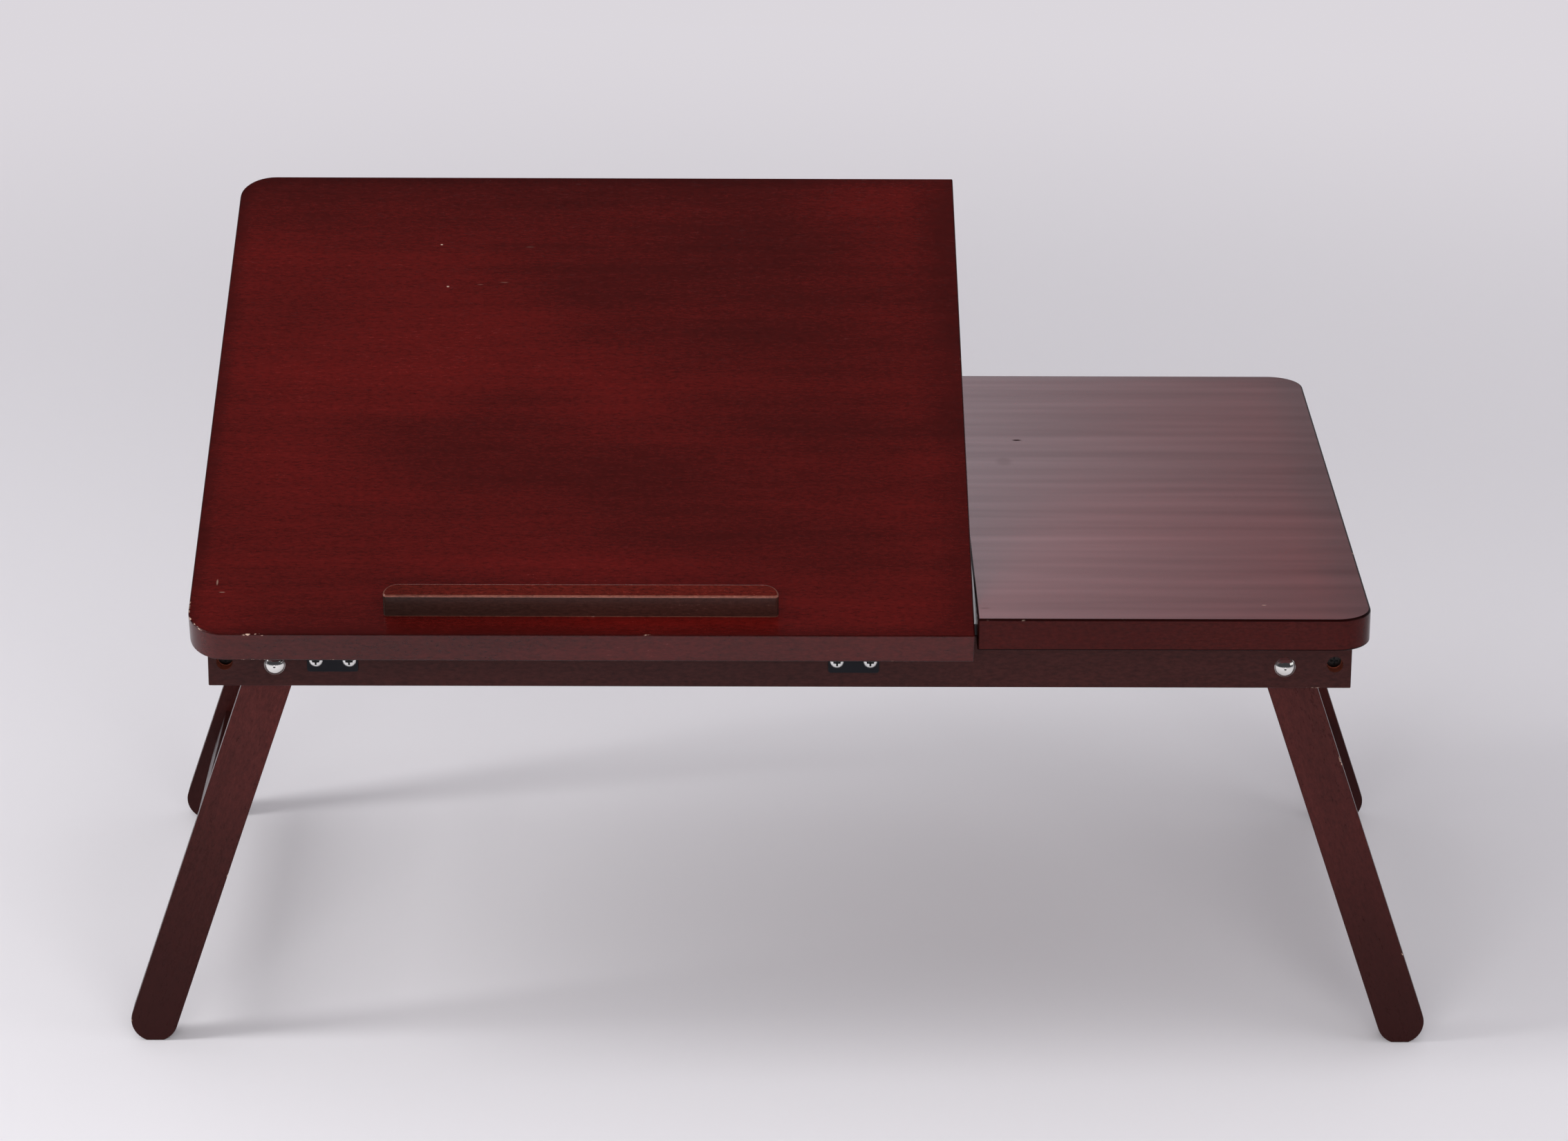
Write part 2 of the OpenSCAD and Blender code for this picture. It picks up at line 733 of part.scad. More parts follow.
module left_hinge_panel_leaf() {
    color(dark_steel) on_panel() translate([hinge_xs[0], 0, 0]) panel_leaf();
}

module right_hinge_panel_leaf() {
    color(dark_steel) on_panel() translate([hinge_xs[1], 0, 0]) panel_leaf();
}

module hinge_panel_screws() {
    color(bright_steel) on_panel() hinge_panel_screws_at() translate([0, 0, -leaf_t])
        round_screw(small_screw_d, small_screw_len, small_head_d, small_head_h);
}

// Sheet steel saddle over the crossbar, with an ear on both sides
module saddle(x) {
    inner = wire_d / 2 + run_fit;
    outer = inner + saddle_t;
    translate([x - saddle_len / 2, bail_reach, 0]) difference() {
        union() {
            translate([0, 0, bail_hang]) point_right() cylinder(r = outer, h = saddle_len);
            translate([0, -outer, bail_hang]) cube([saddle_len, 2 * outer, panel_up - bail_hang]);
            translate([0, -saddle_ear, panel_up - saddle_t]) cube([saddle_len, 2 * saddle_ear, saddle_t]);
        }
        translate([-edge_over, 0, bail_hang]) point_right()
            cylinder(r = inner, h = saddle_len + 2 * edge_over);
        translate([-edge_over, -inner, bail_hang])
            cube([saddle_len + 2 * edge_over, 2 * inner, panel_up - bail_hang + edge_over]);
        for (side = [-1, 1])
            translate([saddle_len / 2, side * saddle_screw_y, panel_up - saddle_t - edge_over])
                cylinder(r = small_screw_d / 2 + seat_fit, h = saddle_t + 2 * edge_over);
    }
}

module left_saddle() {
    color(bright_steel) on_panel() saddle(saddle_xs[0]);
}

module right_saddle() {
    color(bright_steel) on_panel() saddle(saddle_xs[1]);
}

module saddle_screws() {
    color(bright_steel) on_panel() saddle_screws_at() translate([0, 0, -saddle_t])
        round_screw(small_screw_d, small_screw_len, small_head_d, small_head_h);
}

// A quarter bend of the wire that comes in along +x at the origin and leaves along +y
module wire_corner() {
    translate([0, wire_bend_r, 0]) rotate([0, 0, -90]) rotate_extrude(angle = 90)
        translate([wire_bend_r, 0]) circle(r = wire_d / 2);
}

// The bail lies in its own plane: crossbar along x at y = 0, arms along +y, feet turned out
module wire_bail() {
    bend = wire_bend_r;
    color(bright_steel) in_table()
        translate([0, axis_y + bail_y(tilt_rest), axis_z + bail_z(tilt_rest)])
            rotate([-bail_lean(tilt_rest), 0, 0]) {
                translate([left_arm_x + bend, 0, 0]) point_right()
                    cylinder(r = wire_d / 2, h = right_arm_x - left_arm_x - 2 * bend);
                bail_side(right_arm_x, 1, right_foot_x - right_arm_x);
                bail_side(left_arm_x, -1, left_arm_x - left_foot_x);
            }
}

// One arm of the bail with its two bends and its foot, turned to the side given
module bail_side(x, side, foot) {
    bend = wire_bend_r;
    translate([x, 0, 0]) mirror([side > 0 ? 0 : 1, 0, 0]) {
        translate([-bend, 0, 0]) wire_corner();
        translate([0, bend, 0]) point_back() cylinder(r = wire_d / 2, h = bail_arm - 2 * bend);
        translate([bend, bail_arm, 0]) rotate([0, 0, 180]) wire_corner();
        translate([bend, bail_arm, 0]) point_right() cylinder(r = wire_d / 2, h = foot - bend);
    }
}

// Front leg of the left pair, in the table's own axes
module leg() {
    difference() {
        translate([pivot_x, leg_y, pivot_z]) rotate([0, leg_splay, 0]) difference() {
            union() {
                point_back() cylinder(r = leg_r, h = leg_t);
                translate([-leg_r, 0, -leg_len]) cube([leg_w, leg_t, leg_len]);
                translate([0, 0, -leg_len]) point_back() cylinder(r = leg_r, h = leg_t);
            }
            translate([0, -edge_over, 0]) point_back()
                cylinder(r = bolt_d / 2 + run_fit, h = leg_t + 2 * edge_over);
            translate([0, leg_t - tenon_len - seat_fit, 0])
                stretcher_block(seat_fit - tenon_shoulder, tenon_len + edge_over);
        }
        translate([-top_w / 2, 0, -leg_w]) cube([top_w, top_d, leg_w]);
    }
}

// Block along y with the stretcher's section grown by the amount given, in the leg's axes
module stretcher_block(grow, len) {
    translate([-stretcher_w / 2 - grow, 0, -stretcher_at - stretcher_l - grow])
        cube([stretcher_w + 2 * grow, len, stretcher_l + 2 * grow]);
}

// Stretcher of the left pair with a tenon at each end
module stretcher() {
    translate([pivot_x, leg_inner_y, pivot_z]) rotate([0, leg_splay, 0]) {
        stretcher_block(0, stretcher_span);
        translate([0, -tenon_len, 0]) stretcher_block(-tenon_shoulder, stretcher_span + 2 * tenon_len);
    }
}

module left_front_leg() {
    color(lacquer) in_table() leg();
}

module left_rear_leg() {
    color(lacquer) in_table() at_rear() leg();
}

module left_stretcher() {
    color(lacquer) in_table() stretcher();
}

module right_front_leg() {
    color(lacquer) in_table() at_right() leg();
}

module right_rear_leg() {
    color(lacquer) in_table() at_right() at_rear() leg();
}

module right_stretcher() {
    color(lacquer) in_table() at_right() stretcher();
}

front_rail();
back_rail();
left_side_rail();
right_side_rail();
cross_rail();
cross_rail_dowels();
frame_screws();
fixed_top();
top_screws();
left_rack();
right_rack();
rack_screws();
leg_bolts();
rail_washers();
nut_washers();
leg_nuts();
left_hinge_rail_leaf();
right_hinge_rail_leaf();
left_hinge_pin();
right_hinge_pin();
hinge_rail_screws();
tilting_top();
stop_bar();
stop_bar_screws();
left_hinge_panel_leaf();
right_hinge_panel_leaf();
hinge_panel_screws();
left_saddle();
right_saddle();
saddle_screws();
wire_bail();
left_front_leg();
left_rear_leg();
left_stretcher();
right_front_leg();
right_rear_leg();
right_stretcher();
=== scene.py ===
# %% [markdown]
# # Dressing a folding laptop table
# The real object is a low wooden table for use over a lap. A wide panel at the left tilts up on
# two hinges, a narrow one at the right stays level, and four legs fold in under a rail frame.
# The construction comes finished from the CAD model, in metres, with the front facing -Y.
# This lesson gives every piece its surface: stained and lacquered wood, polished and painted
# steel, rounded arrises, and a plain studio that lights them softly.

# %% Load the frame
import json
import math

import bmesh
import bpy
from mathutils import Matrix, Vector


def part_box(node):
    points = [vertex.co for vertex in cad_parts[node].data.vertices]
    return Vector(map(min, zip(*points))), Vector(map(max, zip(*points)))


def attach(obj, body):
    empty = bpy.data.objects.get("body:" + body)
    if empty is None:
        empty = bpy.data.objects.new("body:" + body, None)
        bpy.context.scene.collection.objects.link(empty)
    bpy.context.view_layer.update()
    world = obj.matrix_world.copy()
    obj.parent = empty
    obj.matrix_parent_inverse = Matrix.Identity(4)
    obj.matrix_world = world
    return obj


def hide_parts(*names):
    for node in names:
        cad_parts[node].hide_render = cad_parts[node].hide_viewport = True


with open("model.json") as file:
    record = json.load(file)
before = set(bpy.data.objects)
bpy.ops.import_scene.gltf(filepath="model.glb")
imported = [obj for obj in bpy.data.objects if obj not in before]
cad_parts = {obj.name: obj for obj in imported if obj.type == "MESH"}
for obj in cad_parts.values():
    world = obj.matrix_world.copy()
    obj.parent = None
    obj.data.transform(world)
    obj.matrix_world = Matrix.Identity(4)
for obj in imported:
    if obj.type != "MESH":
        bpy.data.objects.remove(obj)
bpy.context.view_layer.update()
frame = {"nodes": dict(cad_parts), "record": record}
record = frame["record"]
body_of = {n: body for body, members in record["behaviour"]["bodies"].items() for n in members}
slot_of = {part["node"]: part["material_slot"] for part in record["subparts"]}
MM = 0.001

# %% [markdown]
# ## The camera
# A photograph of a product is usually taken from far away with a long lens, so that its lines
# stay nearly parallel. The camera's place and lens can be solved from known points of the
# object, such as corners of the boards and the bolt heads. That was done beforehand, and gave
# a long lens three metres away that looks down by 20 degrees. A camera in Blender looks along
# its own -Z, so its matrix holds the right, up and backward directions as columns.

# %% Place the camera
PICTURE_W = 2268
FOCAL_PX = 7868.1
SENSOR = 36.0
CLIP_FAR = 60.0
CAMERA_AT = Vector((-19.4, -2769.2, 1213.3)) * MM
YAW, PITCH, ROLL = (math.radians(a) for a in (0.466, 19.966, 0.304))

forward = Vector((math.sin(YAW) * math.cos(PITCH), math.cos(YAW) * math.cos(PITCH),
                  -math.sin(PITCH)))
level = Vector((math.cos(YAW), -math.sin(YAW), 0.0))
upright = level.cross(forward)
right = math.cos(ROLL) * level + math.sin(ROLL) * upright
up = math.cos(ROLL) * upright - math.sin(ROLL) * level

camera_data = bpy.data.cameras.new("studio_camera")
camera_data.sensor_width = SENSOR
camera_data.lens = SENSOR * FOCAL_PX / PICTURE_W
camera_data.clip_end = CLIP_FAR
camera = bpy.data.objects.new("studio_camera", camera_data)
facing = Matrix((right, up, -forward)).transposed()
camera.matrix_world = Matrix.Translation(CAMERA_AT) @ facing.to_4x4()
bpy.context.scene.collection.objects.link(camera)
bpy.context.scene.camera = camera
print("lens", round(camera_data.lens, 1), "mm")

# %% [markdown]
# ## Shader maths as plain expressions
# Wood grain is arithmetic on coordinates: stretch a noise along the board, cut it at a level,
# multiply it into a colour. Written node by node this takes many lines. A small class that
# wraps a socket and overloads the operators lets the same thing be written as a formula, and
# each operator adds the node that does it. Numbers go through Math nodes, colours and vectors
# through Vector Math.

# %% A socket with arithmetic
class Wire:
    """An output socket of a node tree. Arithmetic on it adds nodes and gives another Wire."""

    def __init__(self, sheet, socket):
        self.sheet = sheet
        self.socket = socket

    def combine(self, operation, first, second):
        """A Math node for two numbers, and a Vector Math node where one side is a vector."""
        kind = "ShaderNodeMath"
        if any(isinstance(x, Wire) and x.socket.type != "VALUE" for x in (first, second)):
            kind = "ShaderNodeVectorMath"
            first, second = ((x, x, x) if isinstance(x, (int, float)) else x
                             for x in (first, second))
        return self.sheet.node(kind, {"operation": operation}, {0: first, 1: second})

    def __add__(self, other):
        return self.combine("ADD", self, other)

    def __radd__(self, other):
        return self.combine("ADD", other, self)

    def __sub__(self, other):
        return self.combine("SUBTRACT", self, other)

    def __rsub__(self, other):
        return self.combine("SUBTRACT", other, self)

    def __mul__(self, other):
        return self.combine("MULTIPLY", self, other)

    def __rmul__(self, other):
        return self.combine("MULTIPLY", other, self)


print("sockets can be added, subtracted and multiplied")

# %% A sheet that nodes are drawn on
class Sheet:
    """A material's or a world's node tree, emptied, to which nodes are added by type."""

    def __init__(self, tree):
        self.tree = tree
        tree.nodes.clear()

    def node(self, kind, settings=None, values=None, out=0):
        """Adds a node with its settings, and values or wires for its sockets, by name or number.
        It gives one of the node's outputs, or the node itself where it has none."""
        made = self.tree.nodes.new(kind)
        for name, value in (settings or {}).items():
            setattr(made, name, value)
        for name, value in (values or {}).items():
            socket = made.inputs[name]
            if isinstance(value, Wire):
                self.tree.links.new(value.socket, socket)
            elif socket.type == "RGBA" and len(value) == 3:
                socket.default_value = (*value, 1.0)
            else:
                socket.default_value = value
        return Wire(self, made.outputs[out]) if made.outputs else made

    def outputs(self, kind, values=None):
        """All outputs of a node, by name."""
        made = self.node(kind, None, values).socket.node
        return {socket.name: Wire(self, socket) for socket in made.outputs}

    def axes(self, place):
        """The coordinates of a place, by the letters X, Y and Z."""
        return self.outputs("ShaderNodeSeparateXYZ", {0: place})

    def blend(self, share, first, second):
        """Colour first, and colour second where share is 1."""
        return self.node("ShaderNodeMix", {"data_type": "RGBA"}, {0: share, 6: first, 7: second},
                         out=2)

    def ease(self, value, start, end):
        """0 at start, 1 at end, and smooth between. The start may be the higher number."""
        return self.node("ShaderNodeMapRange", {"interpolation_type": "SMOOTHSTEP"},
                         {"Value": value, "From Min": start, "From Max": end})

    def noise(self, at, detail=2.0, roughness=0.55):
        """Noise from about 0.3 to 0.7, with features one unit of the coordinates across."""
        return self.node("ShaderNodeTexNoise", {"noise_dimensions": "3D"},
                         {"Vector": at, "Scale": 1.0, "Detail": detail, "Roughness": roughness})

    def least(self, first, second):
        """The smaller of two numbers."""
        return self.node("ShaderNodeMath", {"operation": "MINIMUM"}, {0: first, 1: second})

    def most(self, first, second):
        """The larger of two numbers."""
        return self.node("ShaderNodeMath", {"operation": "MAXIMUM"}, {0: first, 1: second})

    def distance(self, first, second=(0.0, 0.0, 0.0)):
        """How far apart two places are, or how far one is from the middle."""
        return self.node("ShaderNodeVectorMath", {"operation": "DISTANCE"},
                         {0: first, 1: second}, out="Value")


print("a sheet can blend, ease, measure and make noise")

# %% Materials
def new_material(name):
    """An empty material and the sheet to draw its nodes on."""
    material = bpy.data.materials.new(name)
    material.use_nodes = True
    return material, Sheet(material.node_tree)


def finish_surface(sheet, constants, wires):
    """A Principled shader with constants on its own sockets and wires on the others."""
    shader = sheet.node("ShaderNodeBsdfPrincipled", None, {**constants, **wires})
    sheet.node("ShaderNodeOutputMaterial", None, {"Surface": shader})


def darker(colour, share):
    """The colour with a share of its brightness."""
    return tuple(share * c for c in colour)


print("materials can be made")

# %% [markdown]
# ## Stained and lacquered wood
# The boards are a fine, even timber, stained mahogany red and sprayed with a satin lacquer. The
# stain drifts softly between red and brown, faint bands and fibres run along the grain, and the
# pigment sits in fine specks. Where the lacquer is chipped off an arris, the pale wood shows. A
# picture could be wrapped on the boards, but noise that is stretched along the grain never
# repeats and fits any piece. The coordinates are the object's own, in metres, turned so that
# the grain follows each piece. The level panel mirrors the pale wall, and there the lacquer is
# a coat of its own that is thicker and thinner along the bands, so that the mirrored light
# breaks into soft streaks.

# %% Grain and stain
GRAIN_FRAME = {"x": "XYZ", "y": "YXZ", "z": "ZXY"}
BARE_WOOD = (0.62, 0.44, 0.34)
# Features of each pattern on a metre, along the grain and across it
CLOUD_FINE = (6.0, 11.0, 11.0)
BAND_FINE = (4.0, 75.0, 75.0)
FIBRE_FINE = (60.0, 420.0, 420.0)
SPECK_FINE = (300.0, 760.0, 760.0)
PORE_FINE = (120.0, 1900.0, 1900.0)
# Where in their noise the clouds and the pores start, and the levels that make a pore of it
CLOUD_START, PORE_START = (7.7, 2.2, 1.9), (0.0, 9.0, 4.0)
PORE_EDGE = (0.62, 0.72)
# How much of the drift between the two stains comes from clouds, and how wide it is
CLOUD_SHARE, DRIFT_WIDE = 0.86, 0.16
# How strongly specks, pores, and spray or painted shade change the colour
SPECK_TONE = 2.3
PORE_STAIN, PORE_DARK = 0.15, 0.3
SPRAY_OR_SHADE_DARK = 0.42


def grain_place(sheet, along, turn):
    """Object coordinates in metres, turned, with the grain's direction first."""
    place = sheet.node("ShaderNodeTexCoord", out="Object")
    if any(turn):
        place = sheet.node("ShaderNodeMapping", {"vector_type": "POINT"},
                           {"Vector": place, "Rotation": turn})
    cut = sheet.axes(place)
    order = {i: cut[letter] for i, letter in enumerate(GRAIN_FRAME[along])}
    return place, sheet.node("ShaderNodeCombineXYZ", None, order)


print("grain along", ", ".join(GRAIN_FRAME))

# %% The lacquer over it
# How much roughness changes with fibres, clouds, specks, dark marks and chips
FIBRE_ROUGH, CLOUD_ROUGH, SPECK_ROUGH, MARK_ROUGH, CHIP_ROUGH = 0.08, 0.10, 0.12, 0.7, 0.2
# How much fibres, specks and pores stand out of the lacquer's surface
FIBRE_RELIEF, SPECK_RELIEF, PORE_RELIEF = 0.35, 0.5, 0.3
RELIEF = 0.2
# How much the coat's weight changes along the bands
COAT_STREAKS = 0.55


def lacquered_wood(name, dark, red, along="x", turn=(0.0, 0.0, 0.0), gloss=0.24, shine=0.5,
                   spray_or_shade=None, worn=None, marked=None, clouds=1.0, specks=1.0, bands=0.22,
                   fibres=0.25, peel=0.6 * MM, coat=0.0):
    """Wood with its grain along an axis, after turning by the Euler angles. spray_or_shade, worn
    and marked are functions of the sheet and the place. The first gives the share of darker
    spray or of painted shade, the second the share of chipped lacquer, and the third adds single
    marks to a colour and says where they are matt. peel is how deep the lacquer's fine relief
    is. Where coat isn't 0, the gloss comes from a coat of that weight, thicker and thinner along
    the bands."""
    material, sheet = new_material(name)
    place, grain = grain_place(sheet, along, turn)
    cloud = sheet.noise(grain * CLOUD_FINE + CLOUD_START, 2.0, 0.4)
    band = sheet.noise(grain * BAND_FINE)
    fibre = sheet.noise(grain * FIBRE_FINE, 3.0, 0.6)
    speck = sheet.noise(grain * SPECK_FINE, 3.0, 0.8)
    pores = sheet.ease(sheet.noise(grain * PORE_FINE + PORE_START), *PORE_EDGE)

    drift = CLOUD_SHARE * cloud + (1.0 - CLOUD_SHARE) * band
    redness = sheet.ease(drift, 0.5 - DRIFT_WIDE / clouds, 0.5 + DRIFT_WIDE / clouds)
    tone = 1.0 + bands * (band - 0.5) + fibres * (fibre - 0.5)
    tone = tone + SPECK_TONE * specks * (speck - 0.5)
    colour = sheet.blend(redness, dark, red) * tone
    colour = sheet.blend(PORE_STAIN * specks * pores, colour, darker(dark, PORE_DARK))
    # Darker spray at a panel's edges, or painted shade toward a leg's feet
    if spray_or_shade:
        colour = sheet.blend(spray_or_shade(sheet, place), colour, darker(dark, SPRAY_OR_SHADE_DARK))
    rough = gloss + FIBRE_ROUGH * (fibre - 0.5) + CLOUD_ROUGH * (cloud - 0.5)
    rough = rough + SPECK_ROUGH * specks * (speck - 0.5)
    matt = 0.0
    if marked:
        colour, matt = marked(sheet, place, colour)
        rough = rough + MARK_ROUGH * matt
    if worn:
        chip = worn(sheet, place)
        colour = sheet.blend(chip, colour, BARE_WOOD)
        rough = rough + CHIP_ROUGH * chip
    height = fibre * FIBRE_RELIEF + speck * SPECK_RELIEF - pores * PORE_RELIEF
    bump = sheet.node("ShaderNodeBump", None,
                      {"Strength": RELIEF, "Distance": peel, "Height": height})
    constants = {"IOR": 1.5, "Specular IOR Level": shine}
    wires = {"Base Color": colour, "Roughness": rough, "Normal": bump}
    if coat:
        constants["Coat Roughness"] = gloss
        wires["Coat Weight"] = (coat + COAT_STREAKS * (band - 0.5)) * (1.0 - matt)
    finish_surface(sheet, constants, wires)
    return material


print("lacquer ready, with relief", RELIEF)

# %% [markdown]
# ### Spray, painted shade, marks and wear
# Each panel is darker within about a centimetre of its edge, where the spray overlaps. The
# distance to the nearest edge is the smallest of four differences of coordinates, so the shade
# needs no map. The legs get a painted shade toward the feet, where less light reaches them. On
# the tilting panel the coordinates are first turned back by the tilt, and are then those of a
# flat board. Single marks, such as a knot or a speck of dust in the lacquer, are small ovals at
# their own places.

# %% Darker spray and painted shade
# The tilt of the left panel and the lean of the legs at rest, and a point on the hinges' axis
TILT, LEAN = math.radians(19.3), math.radians(18.7)
HINGE = Vector((0.0, -177.825, 233.8)) * MM
hinge_turned = Matrix.Rotation(-TILT, 3, "X") @ HINGE
# The front side and the depth of the tilting panel, with the tilt turned back
PANEL_FRONT = hinge_turned.y - 19.5 * MM
PANEL_DEEP = 400.0 * MM
# How wide and strong the shade is, how its line wanders, and how it differs at the right
SHADE_WIDE, SHADE_SHARE = 11.0 * MM, 0.5
SHADE_WANDER, WANDER_FINE = 0.8, 28.0
RIGHT_SHADE = 0.35
# Painted shade on the legs: how dark it gets, and the heights along a leg where it starts and where
# it is full
PAINTED_FOOT_SHADE, FOOT_FROM, FOOT_TO = 0.85, 120.0 * MM, -110.0 * MM


def edge_shade(left, right_end, front, back):
    """A function for lacquered_wood that shades a panel with these sides, and more widely at
    the right."""
    def shade(sheet, place):
        cut = sheet.axes(place)
        near = sheet.least(sheet.least(cut["X"] - left, (right_end - cut["X"]) * RIGHT_SHADE),
                           sheet.least(cut["Y"] - front, back - cut["Y"]))
        wander = sheet.noise(place * WANDER_FINE) - 0.5
        inside = sheet.ease(near + SHADE_WANDER * SHADE_WIDE * wander, 0.0, SHADE_WIDE)
        return (1.0 - inside) * SHADE_SHARE
    return shade


def painted_foot_shade(sheet, place):
    """Painted shade toward the lower end of a leg, whose turned coordinates run along it."""
    return PAINTED_FOOT_SHADE * sheet.ease(sheet.axes(place)["Z"], FOOT_FROM, FOOT_TO)


level_low, level_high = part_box("fixed_top")
tilted_low, tilted_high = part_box("tilting_top")
# The level panel isn't darker at its left and front sides
level_shade = edge_shade(level_low.x - SHADE_WIDE, level_high.x,
                         level_low.y - SHADE_WIDE, level_high.y)
tilted_shade = edge_shade(tilted_low.x, tilted_high.x, PANEL_FRONT, PANEL_FRONT + PANEL_DEEP)
print("tilting panel", round((tilted_high.x - tilted_low.x) / MM, 1), "mm wide")

# %% Single marks
BLACK_MARK = (0.012, 0.004, 0.004)
OVAL_CORE = 0.35
MID_BOARD = 10.7 * MM  # above the hinge's axis, with the tilt turned back


def ovals(marks, above):
    """A function that adds oval marks: (x, y, half length, half width) in mm, share, colour.
    They lie on the surface that is above a height, and not on the board's underside. A dark
    mark is matt."""
    def add(sheet, place, colour):
        matt = 0.0
        on_top = sheet.ease(sheet.axes(place)["Z"], above, above + MM)
        for x, y, long, wide, share, tint in marks:
            off = (place - (x * MM, y * MM, 0.0)) * (1 / (long * MM), 1 / (wide * MM), 0.0)
            here = share * on_top * sheet.ease(sheet.distance(off), 1.0, OVAL_CORE)
            colour = sheet.blend(here, colour, tint)
            if tint == BLACK_MARK:
                matt = matt + here
        return colour, matt
    return add


hinge_y = hinge_turned.y / MM
level_marks = ovals([(132.3, 86.3, 3.4, 1.5, 1.0, BLACK_MARK),
                     (123.6, 49.5, 6.0, 9.0, 0.14, BLACK_MARK),
                     (103.9, -181.3, 3.5, 1.2, 0.25, BLACK_MARK),
                     (246.0, -176.0, 1.6, 0.6, 0.5, BARE_WOOD)],
                    (level_low.z + level_high.z) / 2)
tilted_marks = ovals([(-185.7, hinge_y + 316.0, 0.9, 0.7, 0.8, BARE_WOOD),
                      (-180.6, hinge_y + 277.0, 0.9, 0.8, 0.8, BARE_WOOD),
                      (-150.0, hinge_y + 281.0, 3.0, 0.5, 0.12, BARE_WOOD),
                      (-163.0, hinge_y + 279.0, 2.0, 0.4, 0.12, BARE_WOOD),
                      (-137.0, hinge_y + 314.0, 3.0, 0.4, 0.10, BARE_WOOD),
                      (-287.0, hinge_y + 22.0, 0.6, 3.0, 0.25, BARE_WOOD),
                      (-284.0, hinge_y + 14.0, 2.0, 0.5, 0.2, BARE_WOOD)],
                     hinge_turned.z + MID_BOARD)
print("marks above", round((hinge_turned.z + MID_BOARD) / MM, 1), "mm on the tilting panel")

# %% Chipped lacquer
# Chips are flecks within patches. Each comes from a noise that is cut between two levels
CHIP_SHARE = 0.7
PATCH_FINE, PATCH_EDGE = 55.0, (0.64, 0.70)
FLECK_FINE, FLECK_EDGE = 620.0, (0.52, 0.6)
CORNER_FAR, CORNER_NEAR, CORNER_MORE = 55.0 * MM, 12.0 * MM, 0.2
CORNER_IN = 8.0 * MM
FRONT_LEFT = (tilted_low.x + CORNER_IN, PANEL_FRONT + CORNER_IN, 0.0)
FEW_CHIPS, MORE_CHIPS = -0.03, -0.01  # added to a noise that is cut at PATCH_EDGE
OVER_GROUND = (1.0, 1.0, 0.0)  # times a place, this leaves out its height


def chips(many, corner=None):
    """A function that gives the share of chipped lacquer, with more of it round a corner."""
    def share(sheet, place):
        patch = sheet.noise(place * PATCH_FINE) + many
        if corner:
            far = sheet.distance(place * OVER_GROUND, corner)
            patch = patch + CORNER_MORE * sheet.ease(far, CORNER_FAR, CORNER_NEAR)
        flecks = sheet.ease(sheet.noise(place * FLECK_FINE), *FLECK_EDGE)
        return CHIP_SHARE * sheet.ease(patch, *PATCH_EDGE) * flecks
    return share


WEAR = {"tilting_panel_lacquer": chips(MORE_CHIPS, FRONT_LEFT),
        "stop_bar_lacquer": chips(MORE_CHIPS)}
print("more wear on", len(WEAR), "finishes")

# %% [markdown]
# ### One finish for each board
# The faces of a board, its rounded arrises and its sawn edges take the stain differently. The
# faces are red, the edges drink more of it and turn brown, and on the arrises the lacquer is
# thin and chips off. The stop bar's arrises are painted pale, a painted highlight, and the walls
# of the long rails' sunk screw holes are painted a brighter red, a painted light. So each finish
# comes as two or three materials that share one look, and a dictionary says only what is
# different about each.

# %% Looks of the faces
DARK_STAIN, RED_STAIN = (0.048, 0.0030, 0.0024), (0.088, 0.0036, 0.0027)
LEVEL_DARK, LEVEL_RED = (0.084, 0.0034, 0.0026), (0.118, 0.0040, 0.0030)
BAR_DARK, BAR_RED = (0.054, 0.0050, 0.0028), (0.084, 0.0066, 0.0034)
BROWN_STAIN, WARM_STAIN = (0.019, 0.0056, 0.0050), (0.030, 0.0070, 0.0060)
LEG_DARK, LEG_WARM = (0.037, 0.0078, 0.0068), (0.053, 0.0105, 0.0092)

turned_back = (-TILT, 0, 0)
rail = dict(dark=BROWN_STAIN, red=WARM_STAIN, shine=0.13, gloss=0.32, specks=0.8, clouds=0.3)
# The legs get a painted shade toward their feet, where less light reaches them
leg = dict(dark=LEG_DARK, red=LEG_WARM, along="z", shine=0.12, gloss=0.3, specks=0.8,
           spray_or_shade=painted_foot_shade)
WOODS = {
    "tilting_panel_lacquer": dict(dark=DARK_STAIN, red=RED_STAIN, spray_or_shade=tilted_shade,
                                  marked=tilted_marks, clouds=0.8, specks=0.7, fibres=0.45,
                                  turn=turned_back),
    "fixed_panel_lacquer": dict(dark=LEVEL_DARK, red=LEVEL_RED, spray_or_shade=level_shade,
                                marked=level_marks, clouds=0.35, specks=0.15, bands=0.75,
                                peel=0.05 * MM, shine=0.0, coat=0.94),
    "stop_bar_lacquer": dict(dark=BAR_DARK, red=BAR_RED, turn=turned_back),
    "long_rail_lacquer": rail,
    "cross_rail_lacquer": dict(along="y", **rail),
    "left_leg_lacquer": dict(turn=(0, -LEAN, 0), **leg),
    "right_leg_lacquer": dict(turn=(0, LEAN, 0), **leg),
}
print(len(WOODS), "wood finishes")

